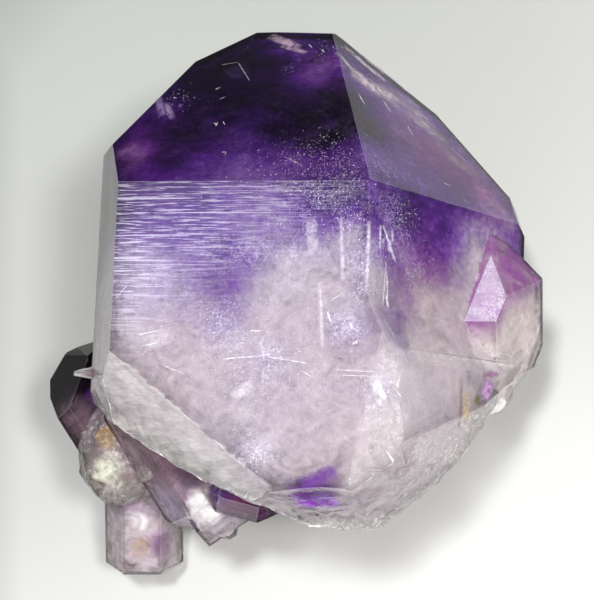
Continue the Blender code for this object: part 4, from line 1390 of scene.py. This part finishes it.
# %% One piece of all the sheets
select_only(sheets[0])
for piece in sheets:
    piece.select_set(True)
bpy.ops.object.join()
veils = bpy.context.object
veils.name = veils.data.name = "veils"
material, tree = new_material("veils of tiny bubbles")
here = add_node(tree, "TexCoord", {}, "Object")
painted = add_node(tree, "Attribute", {"attribute_name": "tint"}, "Color")
fade = add_node(tree, "Attribute", {"attribute_name": "fade"}, "Fac")
ragged = clumps(tree, here, 1.3, low=0.34, high=0.6, detail=5.0, rough=0.66, bend=0.5)
ragged = add_node(tree, "Math", {"operation": "MULTIPLY_ADD", 0: ragged, 1: 0.9, 2: 0.12})
share = add_node(tree, "Math", {"operation": "MULTIPLY", "use_clamp": True, 0: fade, 1: ragged})
tone = clumps(tree, here, 0.7, low=0.3, high=0.7)
shade = add_node(tree, "HueSaturation", {"Color": painted, "Value": 0.8})
surface = {
    "Base Color": add_node(tree, "Mix", {"data_type": "RGBA", 0: tone, 6: shade, 7: painted}, 2),
    "Roughness": 0.6,
    "Specular IOR Level": 0.2,
    "Alpha": share,
}
add_node(tree, "OutputMaterial", {"Surface": add_node(tree, "BsdfPrincipled", surface)})
dress(veils, material, True)

# %% [markdown]
# ## The surface it lies on
#
# Pale paper, painted brighter in front as painted light. From about 6 to 10 cm away it is painted darker, and
# a little nearer at the left, as painted shade of a dim room: the tip faces mirror that part, and a dark
# surrounding is what makes glossy faces look deep.

# %% Floor
FLOOR_SIZE, FLOOR_GAP = 1.6, 0.0001
bpy.ops.object.select_all(action="DESELECT")
bpy.ops.mesh.primitive_plane_add(size=FLOOR_SIZE, location=(0, 0, -FLOOR_GAP))
floor = bpy.context.object
floor.name = "floor"
apply_place(floor)
# Painted light: the paper's colour gets lighter towards the front. Painted shade darkens it far off and at
# the left.
PAINTED_LIGHT_BACK_TO_FRONT = ((0.0, "#adb0ac"), (0.5, "#c2c3c1"), (1.0, "#eeeeed"))
TOWARDS_FRONT, FRONT_SHARE = (2.8, -6.6, 0.0), 0.455
TOWARDS_LEFT = (-1.0, -0.092, 0.0)
DIM_ROUND, DIM_LEFT = (0.058, 0.105), (0.043, 0.064)
PAINTED_SHADE_FAR_OFF = "#646664"
material, tree = new_material("pale paper with painted light and shade")
here = add_node(tree, "TexCoord", {}, "Object")
forward = add_node(tree, "VectorMath", {"operation": "DOT_PRODUCT", 0: here, 1: TOWARDS_FRONT}, "Value")
lift = add_node(tree, "Math", {"operation": "ADD", "use_clamp": True, 0: forward, 1: FRONT_SHARE})
pale = add_node(tree, "ValToRGB", {"Fac": lift, "stops": PAINTED_LIGHT_BACK_TO_FRONT})
away = add_node(tree, "VectorMath", {"operation": "LENGTH", 0: here}, "Value")
far_off = add_node(tree, "MapRange", {"Value": away, "From Min": DIM_ROUND[0], "From Max": DIM_ROUND[1]})
left = add_node(tree, "VectorMath", {"operation": "DOT_PRODUCT", 0: here, 1: TOWARDS_LEFT}, "Value")
left_off = add_node(tree, "MapRange", {"Value": left, "From Min": DIM_LEFT[0], "From Max": DIM_LEFT[1]})
outside = add_node(tree, "Math", {"operation": "MAXIMUM", 0: far_off, 1: left_off})
paper = add_node(tree, "Mix", {"data_type": "RGBA", 0: outside, 6: pale, 7: PAINTED_SHADE_FAR_OFF}, 2)
shader = add_node(tree, "BsdfPrincipled", {"Base Color": paper, "Roughness": 0.9, "Specular IOR Level": 0.2})
add_node(tree, "OutputMaterial", {"Surface": shader})
floor.data.materials.append(material)
print("floor", [round(side, 2) for side in floor.dimensions], "m")

# %% [markdown]
# ## Light
#
# One small lamp nearly overhead gives the main shadow, a wider one from the right the second, and a broad
# one from the front lights the broken base. The room itself is dim. The first two light the stone but don't
# show in its glass: on the real one no face mirrors a lamp, and here the crumbly faces would flash white.

# %% The dim room
HORIZON, OVERHEAD = 0.06, 0.14
world = bpy.data.worlds.new("room")
bpy.context.scene.world = world
world.use_nodes = True
tree = world.node_tree
tree.nodes.clear()
way = add_node(tree, "TexCoord", {}, "Generated")
height = add_node(tree, "SeparateXYZ", {0: way}, "Z")
height = add_node(tree, "Math", {"operation": "MAXIMUM", 0: height, 1: 0.0})
bright = add_node(tree, "Math", {"operation": "MULTIPLY_ADD", 0: height, 1: OVERHEAD - HORIZON, 2: HORIZON})
sky = add_node(tree, "Background", {"Color": "#f4f4f4", "Strength": bright})
add_node(tree, "OutputWorld", {"Surface": sky})
print("room", HORIZON, "at the horizon and", OVERHEAD, "overhead")

# %% Lamps
LAMP_DISTANCE = 0.9
LAMP_AIM = Vector((0, 0, 0.02))
LAMPS = {
    "key": {"way": (0.08, 0.1, 1), "size": 0.12, "power": 6.2, "colour": "#ffffff", "shows": False},
    "right_fill": {"way": (0.6, -0.12, 1), "size": 0.15, "power": 5.9, "colour": "#fffdf9", "shows": False},
    "front_fill": {"way": (-0.3, -2.2, 1), "size": 0.6, "power": 2.0, "colour": "#fffdf9", "shows": True},
}
for name, look in LAMPS.items():
    data = bpy.data.lights.new(name, "AREA")
    data.shape = "DISK"
    data.size = look["size"]
    data.energy = look["power"]
    data.color = hex_colour(look["colour"])[:3]
    lamp = bpy.data.objects.new(name, data)
    bpy.context.scene.collection.objects.link(lamp)
    way = Vector(look["way"]).normalized()
    lamp.location = LAMP_AIM + way * LAMP_DISTANCE
    lamp.rotation_mode = "QUATERNION"
    lamp.rotation_quaternion = way.to_track_quat("Z", "Y")
    lamp.visible_glossy = look["shows"]
    lamp.visible_transmission = look["shows"]
    print("lamp", name, look["power"], "W")

bpy.context.scene.view_settings.view_transform = "Standard"
bpy.context.scene.cycles.use_denoising = True
bpy.context.scene.cycles.transparent_max_bounces = 24
